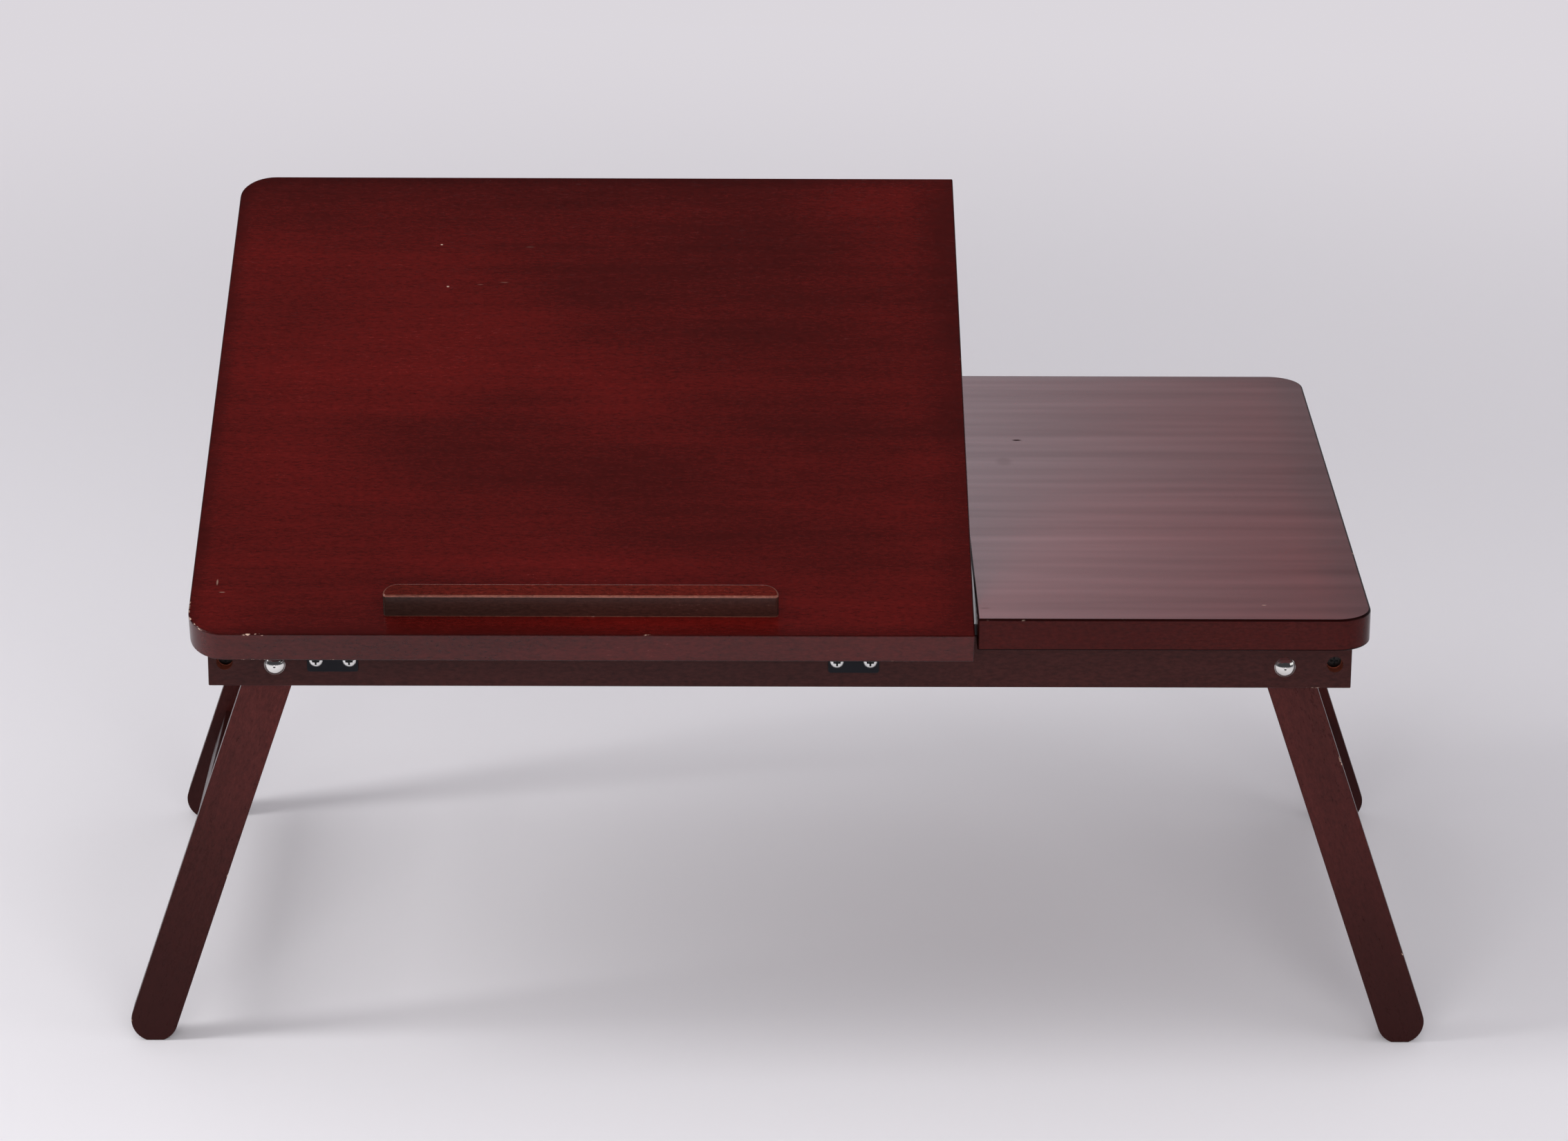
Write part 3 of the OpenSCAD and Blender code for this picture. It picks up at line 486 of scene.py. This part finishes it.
# %% Looks of arrises and edges
ARRIS_LOOKS = {
    "tilting_panel_lacquer": dict(dark=(0.026, 0.0020, 0.0016), red=(0.048, 0.0024, 0.0018),
                                  shine=0.3),
    "fixed_panel_lacquer": dict(dark=(0.008, 0.0014, 0.0012), red=(0.012, 0.0016, 0.0013),
                                shine=0.05, coat=0.0),
    # The stop bar's arrises are painted much paler than its faces: a painted highlight where they
    # catch the light
    "stop_bar_lacquer": dict(dark=(0.100, 0.0300, 0.0200), red=(0.150, 0.0480, 0.0330)),
}
EDGE_AND_LIT_HOLE_LOOKS = {
    "tilting_panel_lacquer": dict(dark=(0.030, 0.0036, 0.0030), red=(0.050, 0.0046, 0.0038),
                                  shine=0.3),
    "fixed_panel_lacquer": dict(dark=(0.022, 0.0026, 0.0020), red=(0.038, 0.0034, 0.0026),
                                shine=0.12),
    "stop_bar_lacquer": dict(dark=(0.017, 0.0080, 0.0062), red=(0.028, 0.0090, 0.0068),
                             shine=0.15),
    # The long rails' third finish is for the walls of their sunk screw holes: a brighter red than
    # the rail, painted light on the walls
    "long_rail_lacquer": dict(dark=(0.110, 0.0260, 0.0150), red=(0.160, 0.0400, 0.0220),
                              shine=0.1),
}
every_edge_or_hole = dict(spray_or_shade=None, marked=None, specks=0.8, bands=0.22, peel=0.4 * MM, coat=0.0)

wood = {}
for name, look in WOODS.items():
    arris_look = {**look, "marked": None, "worn": WEAR.get(name, chips(FEW_CHIPS)),
                  **ARRIS_LOOKS.get(name, {})}
    wood[name] = [lacquered_wood(name, **look), lacquered_wood(name + "_arris", **arris_look)]
    if name in EDGE_AND_LIT_HOLE_LOOKS:
        edge_or_hole_look = {**look, **every_edge_or_hole, **EDGE_AND_LIT_HOLE_LOOKS[name]}
        wood[name].append(lacquered_wood(name + "_edge", **edge_or_hole_look))
print(sum(len(materials) for materials in wood.values()), "wood materials")

# %% [markdown]
# ## From CAD solids to wooden pieces
# A CAD solid has mathematically sharp edges, and a real board never has: sandpaper and lacquer
# leave an arris of about a millimetre that catches the light. The CAD mesh is copied, its
# coplanar triangles are joined into clean faces, and every sharp edge is beveled. The bevel's
# faces get a finish of their own, so that the wear can sit on the arrises alone. The copy then
# stands for the CAD node, and rides on the same body.

# %% Copy a node's mesh
WELD = 0.002 * MM
COPLANAR = math.radians(0.6)
CREASE = math.radians(38)  # faces that meet more sharply are shaded apart


def sharp_edges(mesh, least):
    """Edges where two faces meet at more than the least angle, and both are there."""
    return [e for e in mesh.edges if len(e.link_faces) == 2 and e.calc_face_angle() > least]


def cleaned_copy(node):
    """The node's mesh as a bmesh, welded, with coplanar triangles joined."""
    mesh = bmesh.new()
    mesh.from_mesh(frame["nodes"][node].data)
    bmesh.ops.remove_doubles(mesh, verts=mesh.verts, dist=WELD)
    bmesh.ops.dissolve_limit(mesh, angle_limit=COPLANAR, verts=mesh.verts, edges=mesh.edges,
                             delimit=set())
    return mesh


def place_piece(name, mesh, materials, node):
    """Makes an object of the bmesh that rides on the node's body and stands for the node."""
    for face in mesh.faces:
        face.smooth = True
    for edge in sharp_edges(mesh, CREASE):
        edge.smooth = False
    data = bpy.data.meshes.new(name)
    mesh.to_mesh(data)
    mesh.free()
    for material in materials:
        data.materials.append(material)
    piece = bpy.data.objects.new(name, data)
    bpy.context.scene.collection.objects.link(piece)
    weigh = piece.modifiers.new("flat faces", "WEIGHTED_NORMAL")
    weigh.keep_sharp = True
    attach(piece, body_of[node])
    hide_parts(node)
    return piece


print("faces are joined within", round(math.degrees(COPLANAR), 1), "degrees")

# %% Round a node's edges
HOLE_WIDE = 12.0 * MM  # a ring of edges that is narrower is the rim of a hole
HOLE_ARRIS = 0.15 * MM
ARRIS_ANGLE = math.radians(28.0)


def edge_groups(edges):
    """The edges in groups that hang together, each with its greatest extent."""
    left, groups = set(edges), []
    while left:
        group, reach = [], [left.pop()]
        while reach:
            edge = reach.pop()
            group.append(edge)
            for other in [e for v in edge.verts for e in v.link_edges if e in left]:
                if other in left:
                    left.remove(other)
                    reach.append(other)
        points = [v.co for e in group for v in e.verts]
        spans = [max(p[i] for p in points) - min(p[i] for p in points) for i in range(3)]
        groups.append((max(spans), group))
    return groups


def rounded(mesh, edges, size, steps, material=0):
    """Bevels the edges, and gives the new faces the material of that number."""
    bmesh.ops.bevel(mesh, geom=edges, offset=size, offset_type="OFFSET", segments=steps,
                    profile=0.5, affect="EDGES", clamp_overlap=True, material=material)


def soften(node, materials, arris, edge_or_lit_hole=None):
    """A copy of the node with its edges rounded, those round small holes by a hair's breadth.
    The faces for which edge_or_lit_hole is true get the third material."""
    mesh = cleaned_copy(node)
    mesh.normal_update()
    for face in mesh.faces:
        if edge_or_lit_hole and edge_or_lit_hole(face):
            face.material_index = 2
    groups = edge_groups(sharp_edges(mesh, ARRIS_ANGLE))
    holes = [e for extent, group in groups if extent < HOLE_WIDE for e in group]
    outer = [e for extent, group in groups if extent >= HOLE_WIDE for e in group]
    rounded(mesh, holes, HOLE_ARRIS, 3, material=1)
    rounded(mesh, outer, arris, 3, material=1)
    return place_piece(node + ".wood", mesh, materials, node)


print("hole rims are eased by", round(HOLE_ARRIS / MM, 2), "mm")

# %% The wooden pieces
# Arrises in mm
ARRIS = {"tilting_top": 0.7, "fixed_top": 1.0, "stop_bar": 0.9}
USUAL_ARRIS = 0.6
FINISH = {"tilting_top": "tilting_panel_lacquer", "fixed_top": "fixed_panel_lacquer",
          "stop_bar": "stop_bar_lacquer", "front_rail": "long_rail_lacquer",
          "back_rail": "long_rail_lacquer", "left_side_rail": "cross_rail_lacquer",
          "right_side_rail": "cross_rail_lacquer", "cross_rail": "cross_rail_lacquer",
          "left_rack": "cross_rail_lacquer", "right_rack": "cross_rail_lacquer",
          "left_front_leg": "left_leg_lacquer", "left_rear_leg": "left_leg_lacquer",
          "right_front_leg": "right_leg_lacquer", "right_rear_leg": "right_leg_lacquer",
          "left_stretcher": "cross_rail_lacquer", "right_stretcher": "cross_rail_lacquer"}
UPWARD = Vector((0.0, 0.0, 1.0))
PANEL_UP = Vector((0.0, -math.sin(TILT), math.cos(TILT)))
SUNK_X, SUNK_Z = 283.5 * MM, 220.5 * MM
SUNK_REACH = 4.3 * MM  # a little more than the hole's radius


def board_side(up):
    """A test of whether a face stands along up, and so belongs to the board's edge."""
    return lambda face: abs(face.normal.dot(up)) < 0.5


def lit_hole_wall(face):
    """Whether a face is in a long rail's two sunk screw holes, whose walls get painted light."""
    centre = face.calc_center_median()
    return math.hypot(abs(centre.x) - SUNK_X, centre.z - SUNK_Z) < SUNK_REACH


# Board edges, and the walls of the rails' sunk holes, which get painted light
IS_EDGE_OR_LIT_HOLE = {"tilting_top": board_side(PANEL_UP), "fixed_top": board_side(UPWARD),
           "stop_bar": board_side(PANEL_UP), "front_rail": lit_hole_wall, "back_rail": lit_hole_wall}
for node, finish in FINISH.items():
    size = ARRIS.get(node, USUAL_ARRIS)
    piece = soften(node, wood[finish], size * MM, IS_EDGE_OR_LIT_HOLE.get(node))
    print(piece.name, len(piece.data.vertices), "vertices, arris", size, "mm")

# %% [markdown]
# ## Metals
# The bolt heads are polished nickel, the hinges black painted steel, the nuts, washers and
# saddles zinc, and the bail is drawn wire. Most screws are bright, and those of the frame are
# dark. Each could be a picture of worn metal, but at this size colour, roughness and the
# scale of the marks that its making leaves tell one metal from another. So one function makes
# them all, and the paint and the painted shade of the screw recesses only leave out the
# metallic part. The dowels of bare, pale wood get their finish here too.

# %% Metal finishes
SMEAR_FINE, SMEAR_SHARE, SMEAR_DARK = 130.0, 0.25, 0.45
MARK_STRENGTH, MARK_DEEP = 0.1, 0.03 * MM


def metal(name, colour, rough, waver, scale=900.0, metallic=1.0, shine=0.5):
    """A metal, or a coat on metal, whose colour and roughness change with a noise."""
    material, sheet = new_material(name)
    place = sheet.node("ShaderNodeTexCoord", out="Object")
    marks = sheet.noise(place * scale, 3.0)
    smear = sheet.noise(place * SMEAR_FINE)
    shade = sheet.blend(SMEAR_SHARE * smear, colour, darker(colour, SMEAR_DARK))
    bump = sheet.node("ShaderNodeBump", None,
                      {"Strength": MARK_STRENGTH, "Distance": MARK_DEEP, "Height": marks})
    finish_surface(sheet, {"Metallic": metallic, "Specular IOR Level": shine},
                   {"Base Color": shade, "Roughness": rough + waver * (marks - 0.5),
                    "Normal": bump})
    return material


nickel = metal("polished_nickel", (0.82, 0.81, 0.78), 0.12, 0.06)
zinc = metal("zinc_steel", (0.66, 0.66, 0.64), 0.34, 0.2, 500.0)
wire = metal("wire_steel", (0.62, 0.62, 0.61), 0.28, 0.2, 300.0)
bright = metal("screw_steel", (0.80, 0.80, 0.78), 0.2, 0.1)
# A dark steel for the frame's screws, which sit in sunk holes
dull = metal("dark_screw_steel", (0.055, 0.048, 0.046), 0.42, 0.2)
# Painted shade: a dark matt finish for the insides of the screws' cross recesses
recess = metal("painted_screw_recess_shade", (0.012, 0.012, 0.012), 0.6, 0.1, metallic=0.0, shine=0.1)
black = metal("black_steel", (0.006, 0.006, 0.008), 0.42, 0.25, 1200.0, metallic=0.0, shine=0.12)
dowel = lacquered_wood("pale_dowel", (0.42, 0.27, 0.14), (0.62, 0.44, 0.25), along="y",
                       gloss=0.6, shine=0.2)
BY_SLOT = {"polished_nickel": nickel, "zinc_steel": zinc, "wire_steel": wire,
           "screw_steel": bright, "black_steel": black, "pale_dowel": dowel}
for node, item in frame["nodes"].items():
    if slot_of[node] in BY_SLOT:
        item.data.materials.clear()
        item.data.materials.append(BY_SLOT[slot_of[node]])
print(len(BY_SLOT), "finishes for the small parts")

# %% [markdown]
# ## Turned hardware
# A leg bolt is turned from bar: a low polished dome with a small centre mark from the lathe and
# faint rings, a smooth shank, and a rolled thread at its end. Nuts and washers are round about
# the same axis. All of them can be made as one revolved outline, and where a thread or a
# hexagon breaks the roundness, the radius is made to depend on the angle as well.

# %% Revolve an outline
PIVOT_X = 257.93 * MM
PIVOT_Z = 219.1 * MM


def revolve(mesh, place, rows, spokes=48, closed=False):
    """Adds rings to the mesh about the local Z axis. Each row is (along, radius), and a radius
    may be a function of the angle. A closed outline has a hole, and an open one gets two caps."""
    rings = []
    for along, radius in rows:
        ring = []
        for i in range(spokes):
            angle = 2 * math.pi * i / spokes
            r = radius(angle) if callable(radius) else radius
            point = place @ Vector((r * math.cos(angle), r * math.sin(angle), along))
            ring.append(mesh.verts.new(point))
        rings.append(ring)
    pairs = list(zip(rings, rings[1:])) + ([(rings[-1], rings[0])] if closed else [])
    for near, far in pairs:
        for i in range(spokes):
            j = (i + 1) % spokes
            mesh.faces.new((near[i], far[i], far[j], near[j]))
    if not closed:
        mesh.faces.new(rings[0])
        mesh.faces.new(reversed(rings[-1]))


def bolt_places(node):
    """Four matrices, one for each leg bolt, that start at the node's outer side and look inward."""
    low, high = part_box(node)
    for side in (-1, 1):
        for y, inward in ((low.y, -90), (high.y, 90)):
            at = Vector((side * PIVOT_X, y, PIVOT_Z))
            yield Matrix.Translation(at) @ Matrix.Rotation(math.radians(inward), 4, "X")


def turned_piece(node, rows, material, **shape):
    """One piece with the outline, in mm, at all four bolts."""
    mesh = bmesh.new()
    for place in bolt_places(node):
        revolve(mesh, place @ Matrix.Scale(MM, 4), rows, **shape)
    bmesh.ops.recalc_face_normals(mesh, faces=mesh.faces)
    piece = place_piece(node + ".turned", mesh, [material], node)
    print(piece.name, len(piece.data.polygons), "faces")


print("bolts at", round(PIVOT_X, 4), round(PIVOT_Z, 4))

# %% Leg bolts
HEAD_R, HEAD_H, SHANK_R, BOLT_LONG = 5.35, 3.0, 3.0, 43.79
DOME_R = (HEAD_R ** 2 + HEAD_H ** 2) / (2 * HEAD_H)
DOME_RINGS, CROWN_R, RIM_IN = 45, 0.06, 0.1
MARK_R, MARK_H = 0.75, 0.3
RING_PITCH, RING_DEEP = 0.8, 0.012
THREAD_PITCH, THREAD_DEEP, THREAD_FROM, THREAD_FADE = 1.0, 0.36, 26.0, 1.5
THREAD_STEPS, THREAD_SHORT = 6, 0.8  # rings for each pitch, and how far the tip stands out


def dome_depth(r):
    """How far the dome's surface lies below its crown, with the centre mark and the rings."""
    sphere = DOME_R - math.sqrt(DOME_R ** 2 - r ** 2)
    mark = MARK_H * max(0.0, 1 - (r / MARK_R) ** 2)
    rings = RING_DEEP * (1 - math.cos(2 * math.pi * r / RING_PITCH)) if r > MARK_R else 0.0
    return sphere + mark + rings


def thread_radius(along):
    """The radius of a thread, which runs round once for each pitch."""
    def radius(angle):
        phase = (along / THREAD_PITCH - angle / (2 * math.pi)) % 1.0
        groove = 1 - abs(2 * phase - 1)
        fade = min(1.0, (along - THREAD_FROM) / THREAD_FADE)
        return SHANK_R - THREAD_DEEP * fade * groove
    return radius


ring_step = (HEAD_R - RIM_IN - CROWN_R) / (DOME_RINGS - 1)
turns = int((BOLT_LONG - THREAD_SHORT - THREAD_FROM) * THREAD_STEPS / THREAD_PITCH)
threads = [THREAD_FROM + THREAD_PITCH * (i + 1) / THREAD_STEPS for i in range(turns)]
rows = [(dome_depth(r), r) for r in (CROWN_R + i * ring_step for i in range(DOME_RINGS))]
# The head's rim and flat back, the neck, and the smooth part of the shank
rows += [(HEAD_H - 0.08, HEAD_R - 0.01), (HEAD_H, HEAD_R - 0.06), (HEAD_H, SHANK_R + 0.2),
         (HEAD_H + 0.2, SHANK_R), (THREAD_FROM, SHANK_R)]
rows += [(a, thread_radius(a)) for a in threads]
# The pointed end
rows += [(BOLT_LONG - 0.7, SHANK_R - THREAD_DEEP), (BOLT_LONG, SHANK_R - 0.9)]
turned_piece("leg_bolts", rows, nickel)

# %% Washers
WASHER_R, WASHER_HOLE, WASHER_T, EASE = 7.0, 3.25, 1.0, 0.12
rows = [(0.0, WASHER_HOLE + EASE), (0.0, WASHER_R - EASE), (EASE, WASHER_R),
        (WASHER_T - EASE, WASHER_R), (WASHER_T, WASHER_R - EASE),
        (WASHER_T, WASHER_HOLE + EASE), (WASHER_T - EASE, WASHER_HOLE), (EASE, WASHER_HOLE)]
for node in ("rail_washers", "nut_washers"):
    turned_piece(node, rows, zinc, closed=True)

# %% Lock nuts
NUT_FLATS, NUT_H, HEX_H = 10.0, 6.0, 4.6
NUT_BORE, BORE_EASE = SHANK_R + 0.05, 0.35
# The cone that cuts the hexagon's corners: its slope, least radius and steps
CORNER_CUT, CUT_FROM = math.tan(math.radians(60)), 4.75
CUT_STEPS = [0.0, 0.08, 0.15, 0.22, 0.3, 0.38, 0.46, 0.56, 0.64]


def hexagon(limit):
    """The radius of a hexagon across its flats, held below a limit, which cuts its corners."""
    def radius(angle):
        side = NUT_FLATS / 2 / math.cos((angle % (math.pi / 3)) - math.pi / 6)
        return min(side, limit)
    return radius


rows = [(BORE_EASE, NUT_BORE), (0.0, NUT_BORE + BORE_EASE)]
rows += [(a, hexagon(CUT_FROM + CORNER_CUT * a)) for a in CUT_STEPS]
rows += [(HEX_H - a, hexagon(CUT_FROM + CORNER_CUT * a)) for a in reversed(CUT_STEPS)]
# The collar with the locking ring
rows += [(HEX_H, 4.25), (HEX_H + 0.9, 4.2), (HEX_H + 1.25, 3.95), (NUT_H, 3.6), (NUT_H, 3.35),
         (NUT_H - 0.3, NUT_BORE)]
turned_piece("leg_nuts", rows, zinc, spokes=72, closed=True)

# %% [markdown]
# ## Screws
# Each screw's head has a cross recess, which looks black inside because little light gets to
# the bottom of it. The CAD solid already has the true shape, so it is copied, and only the
# faces of the recess get a dark matt finish, a painted shade. They are found by where they
# are: close to the screw's axis, below the crown, and not facing straight out like the crown
# does.

# %% Find the recess of a screw
SCREW_AXIS = {"frame_screws": Vector((0, 1, 0)), "top_screws": UPWARD,
              "rack_screws": Vector((1, 0, 0)), "hinge_rail_screws": Vector((0, 1, 0)),
              "stop_bar_screws": PANEL_UP, "hinge_panel_screws": PANEL_UP,
              "saddle_screws": PANEL_UP}
# Shares of the head's width, and how squarely the crown faces out
RECESS_R, RECESS_DEEP, CROWN_DEEP, CROWN_SQUARE = 0.29, 0.19, 0.08, 0.7


def loose_parts(mesh):
    """Lists of vertices, one for each separate solid of the mesh."""
    parts, seen = [], set()
    for start in mesh.verts:
        if start in seen:
            continue
        part, reach = [], [start]
        seen.add(start)
        while reach:
            vert = reach.pop()
            part.append(vert)
            for edge in vert.link_edges:
                other = edge.other_vert(vert)
                if other not in seen:
                    seen.add(other)
                    reach.append(other)
        parts.append(part)
    return parts


def recess_faces(part, axis):
    """The faces of one screw that lie in the recess of its head."""
    across = [v.co - axis * v.co.dot(axis) for v in part]
    middle = Vector([(min(c[i] for c in across) + max(c[i] for c in across)) / 2
                     for i in range(3)])
    radii = [(c - middle).length for c in across]
    wide = 2 * max(radii)
    along = [v.co.dot(axis) for v in part]
    rim = along[radii.index(max(radii))]
    outward = 1 if rim > (min(along) + max(along)) / 2 else -1
    top = max(outward * a for a in along)
    found = []
    for face in {f for v in part for f in v.link_faces}:
        centre = face.calc_center_median()
        radius = (centre - axis * centre.dot(axis) - middle).length
        deep = top - outward * centre.dot(axis)
        crown = face.normal.dot(axis) * outward > CROWN_SQUARE and deep < CROWN_DEEP * wide
        if radius < RECESS_R * wide and deep < RECESS_DEEP * wide and not crown:
            found.append(face)
    return found


print(len(SCREW_AXIS), "kinds of screws")

# %% Painted shade in the screws' recesses
for node, axis in SCREW_AXIS.items():
    mesh = cleaned_copy(node)
    mesh.normal_update()
    painted = [f for part in loose_parts(mesh) for f in recess_faces(part, axis)]
    # The faces of the recesses get the painted shade
    for face in painted:
        face.material_index = 1
    head = dull if node == "frame_screws" else bright
    place_piece(node + ".heads", mesh, [head, recess], node)
    print(node, len(painted), "recess faces")

# %% [markdown]
# ## Hinge leaves
# A butt hinge's leaves are stamped from sheet steel, bent round the pin and painted black. The
# stamp rounds the two free corners, and paint softens every edge. The rounded corners come from
# beveling the two short edges that stand farthest from the pin, and the rest get a hair's
# breadth. The pins and the bail's saddles are only eased.

# %% Hinge leaves, saddles and pins
LEAF_T, LEAF_CORNER, LEAF_EASE = 1.2 * MM, 1.3 * MM, 0.12 * MM
LENGTH_ERROR = 0.05 * MM
PIN_EASE, SADDLE_EASE = 0.25 * MM, 0.15 * MM
SHEET_ANGLE = math.radians(40)


def leaf_corners(mesh):
    """The two edges as long as the sheet is thick that are farthest from the hinge's pin."""
    def from_pin(edge):
        middle = (edge.verts[0].co + edge.verts[1].co) / 2 - HINGE
        return Vector((0.0, middle.y, middle.z)).length

    short = [e for e in mesh.edges if abs(e.calc_length() - LEAF_T) < LENGTH_ERROR]
    return sorted(short, key=from_pin)[-2:]


for side in ("left", "right"):
    for half in ("rail", "panel"):
        node = f"{side}_hinge_{half}_leaf"
        mesh = cleaned_copy(node)
        rounded(mesh, leaf_corners(mesh), LEAF_CORNER, 5)
        rounded(mesh, sharp_edges(mesh, SHEET_ANGLE), LEAF_EASE, 2)
        place_piece(node + ".sheet", mesh, [black], node)
    for node, finish, size in ((f"{side}_hinge_pin", black, PIN_EASE),
                               (f"{side}_saddle", zinc, SADDLE_EASE)):
        mesh = cleaned_copy(node)
        rounded(mesh, sharp_edges(mesh, SHEET_ANGLE), size, 2)
        place_piece(node + ".eased", mesh, [finish], node)
print("hinges and saddles ready")

# %% [markdown]
# ## The studio
# The floor is one pale sheet that curves up into a wall all round, so no horizon shows from any
# side. Near the table it takes the light and the shadow. Far away it is a plain colour that the
# camera and the glossy reflections see. There are three large soft lamps: a narrow one high at
# the left, a wide one low in front, and a weak one at the right. The ceiling and the wall in
# front stay dark in reflections, so that the tilted panel keeps its red and the bolt heads get a
# dark upper half, while the level panel mirrors a bright pool on the wall behind it.

# %% Floor and wall
WALL_FAR, WALL_BEND, WALL_HIGH = 4.2, 1.6, 3.4
BEND_STEPS, ROUND = 16, 96
FLOOR_RINGS = (0.6, 1.2, 2.0, 3.0)
FLOOR_Z = -0.2 * MM
bend = [math.radians(90 * i / BEND_STEPS) for i in range(BEND_STEPS + 1)]
profile = [(r, 0.0) for r in FLOOR_RINGS]
profile += [(WALL_FAR + WALL_BEND * math.sin(a), WALL_BEND * (1 - math.cos(a))) for a in bend]
profile += [(WALL_FAR + WALL_BEND, WALL_HIGH)]

mesh = bmesh.new()
angles = [2 * math.pi * i / ROUND for i in range(ROUND)]
rings = [[mesh.verts.new((r * math.cos(a), r * math.sin(a), z + FLOOR_Z)) for a in angles]
         for r, z in profile]
middle = mesh.verts.new((0.0, 0.0, FLOOR_Z))
for i in range(ROUND):
    j = (i + 1) % ROUND
    mesh.faces.new((middle, rings[0][i], rings[0][j]))
    for inner, outer in zip(rings, rings[1:]):
        mesh.faces.new((inner[i], outer[i], outer[j], inner[j]))
for face in mesh.faces:
    face.smooth = True
sweep_data = bpy.data.meshes.new("studio_sweep")
mesh.to_mesh(sweep_data)
mesh.free()
sweep = bpy.data.objects.new("studio_sweep", sweep_data)
bpy.context.scene.collection.objects.link(sweep)
print("sweep", len(sweep_data.polygons), "faces")

# %% Paper of the floor and wall
POOL_AT = (-0.1, WALL_FAR + WALL_BEND, 2.45)
POOL_WIDE = 1.3
FRONT_WALL, MIDDLE = -2.0, 0.0
PLAIN_FROM, PLAIN_TO = 0.8, 2.0

paper, sheet = new_material("studio_paper")
place = sheet.node("ShaderNodeTexCoord", out="Object")
ray = sheet.outputs("ShaderNodeLightPath")


def glowing(colour):
    """Paper that shows one colour, whatever light falls on it."""
    return sheet.node("ShaderNodeEmission", None, {"Color": colour, "Strength": 1.0})


def mixed(share, first, second):
    """The first shader, and the second where share is 1."""
    return sheet.node("ShaderNodeMixShader", None, {0: share, 1: first, 2: second})


lit = sheet.node("ShaderNodeBsdfDiffuse", None, {"Color": (0.80, 0.785, 0.81)})
plain = glowing((0.71, 0.68, 0.72))
# What polished surfaces mirror: the wall behind, the pool on it, and the wall in front
dusk = glowing((0.335, 0.33, 0.355))
pool = glowing((2.17, 1.89, 2.08))
night = glowing((0.05, 0.05, 0.055))
back_wall = mixed(sheet.ease(sheet.distance(place, POOL_AT), POOL_WIDE, 0.0), dusk, pool)
mirrored_wall = mixed(sheet.ease(sheet.axes(place)["Y"], FRONT_WALL, MIDDLE), night, back_wall)
glow = mixed(ray["Is Glossy Ray"], plain, mirrored_wall)
seen = sheet.most(sheet.most(ray["Is Camera Ray"], ray["Is Glossy Ray"]),
                  ray["Is Transmission Ray"])
far = sheet.distance(place * OVER_GROUND)
both = mixed(seen * sheet.ease(far, PLAIN_FROM, PLAIN_TO), lit, glow)
sheet.node("ShaderNodeOutputMaterial", None, {"Surface": both})
sweep_data.materials.append(paper)
print("paper plain from", PLAIN_TO, "m")

# %% Lamps
def soft_lamp(name, at, wide, deep, watts, mirrored=True):
    """A rectangular lamp that looks at the table and that the camera doesn't see. A lamp that
    isn't mirrored leaves no window shape on polished metal."""
    data = bpy.data.lights.new(name, "AREA")
    data.shape, data.size, data.size_y = "RECTANGLE", wide, deep
    data.energy = watts
    lamp = bpy.data.objects.new(name, data)
    aim = (Vector(AIM) - Vector(at)).to_track_quat("-Z", "Y")
    lamp.matrix_world = Matrix.Translation(at) @ aim.to_matrix().to_4x4()
    lamp.visible_camera = False
    lamp.visible_glossy = mirrored
    bpy.context.scene.collection.objects.link(lamp)
    print(name, wide, "x", deep, "m,", watts, "W")


AIM = (0.0, 0.0, 0.2)
soft_lamp("left_lamp", (-1.9, -0.5, 1.7), 0.55, 1.9, 25.0)
soft_lamp("front_lamp", (0.0, -2.8, 0.9), 2.8, 1.0, 68.0, mirrored=False)
soft_lamp("right_lamp", (2.6, -1.0, 1.1), 1.5, 1.2, 6.0)

# %% Ceiling
ROOM_LIGHT = (0.562, 0.551, 0.572)
ROOM_MIRRORED = (0.045, 0.045, 0.05)

world = bpy.data.worlds.new("studio_room")
world.use_nodes = True
bpy.context.scene.world = world
sheet = Sheet(world.node_tree)
ray = sheet.outputs("ShaderNodeLightPath")
ceiling = sheet.blend(ray["Is Glossy Ray"], ROOM_LIGHT, ROOM_MIRRORED)
room = sheet.node("ShaderNodeBackground", None, {"Color": ceiling, "Strength": 1.0})
sheet.node("ShaderNodeOutputWorld", None, {"Surface": room})
bpy.context.scene.view_settings.view_transform = "Standard"
print("a dim ceiling")
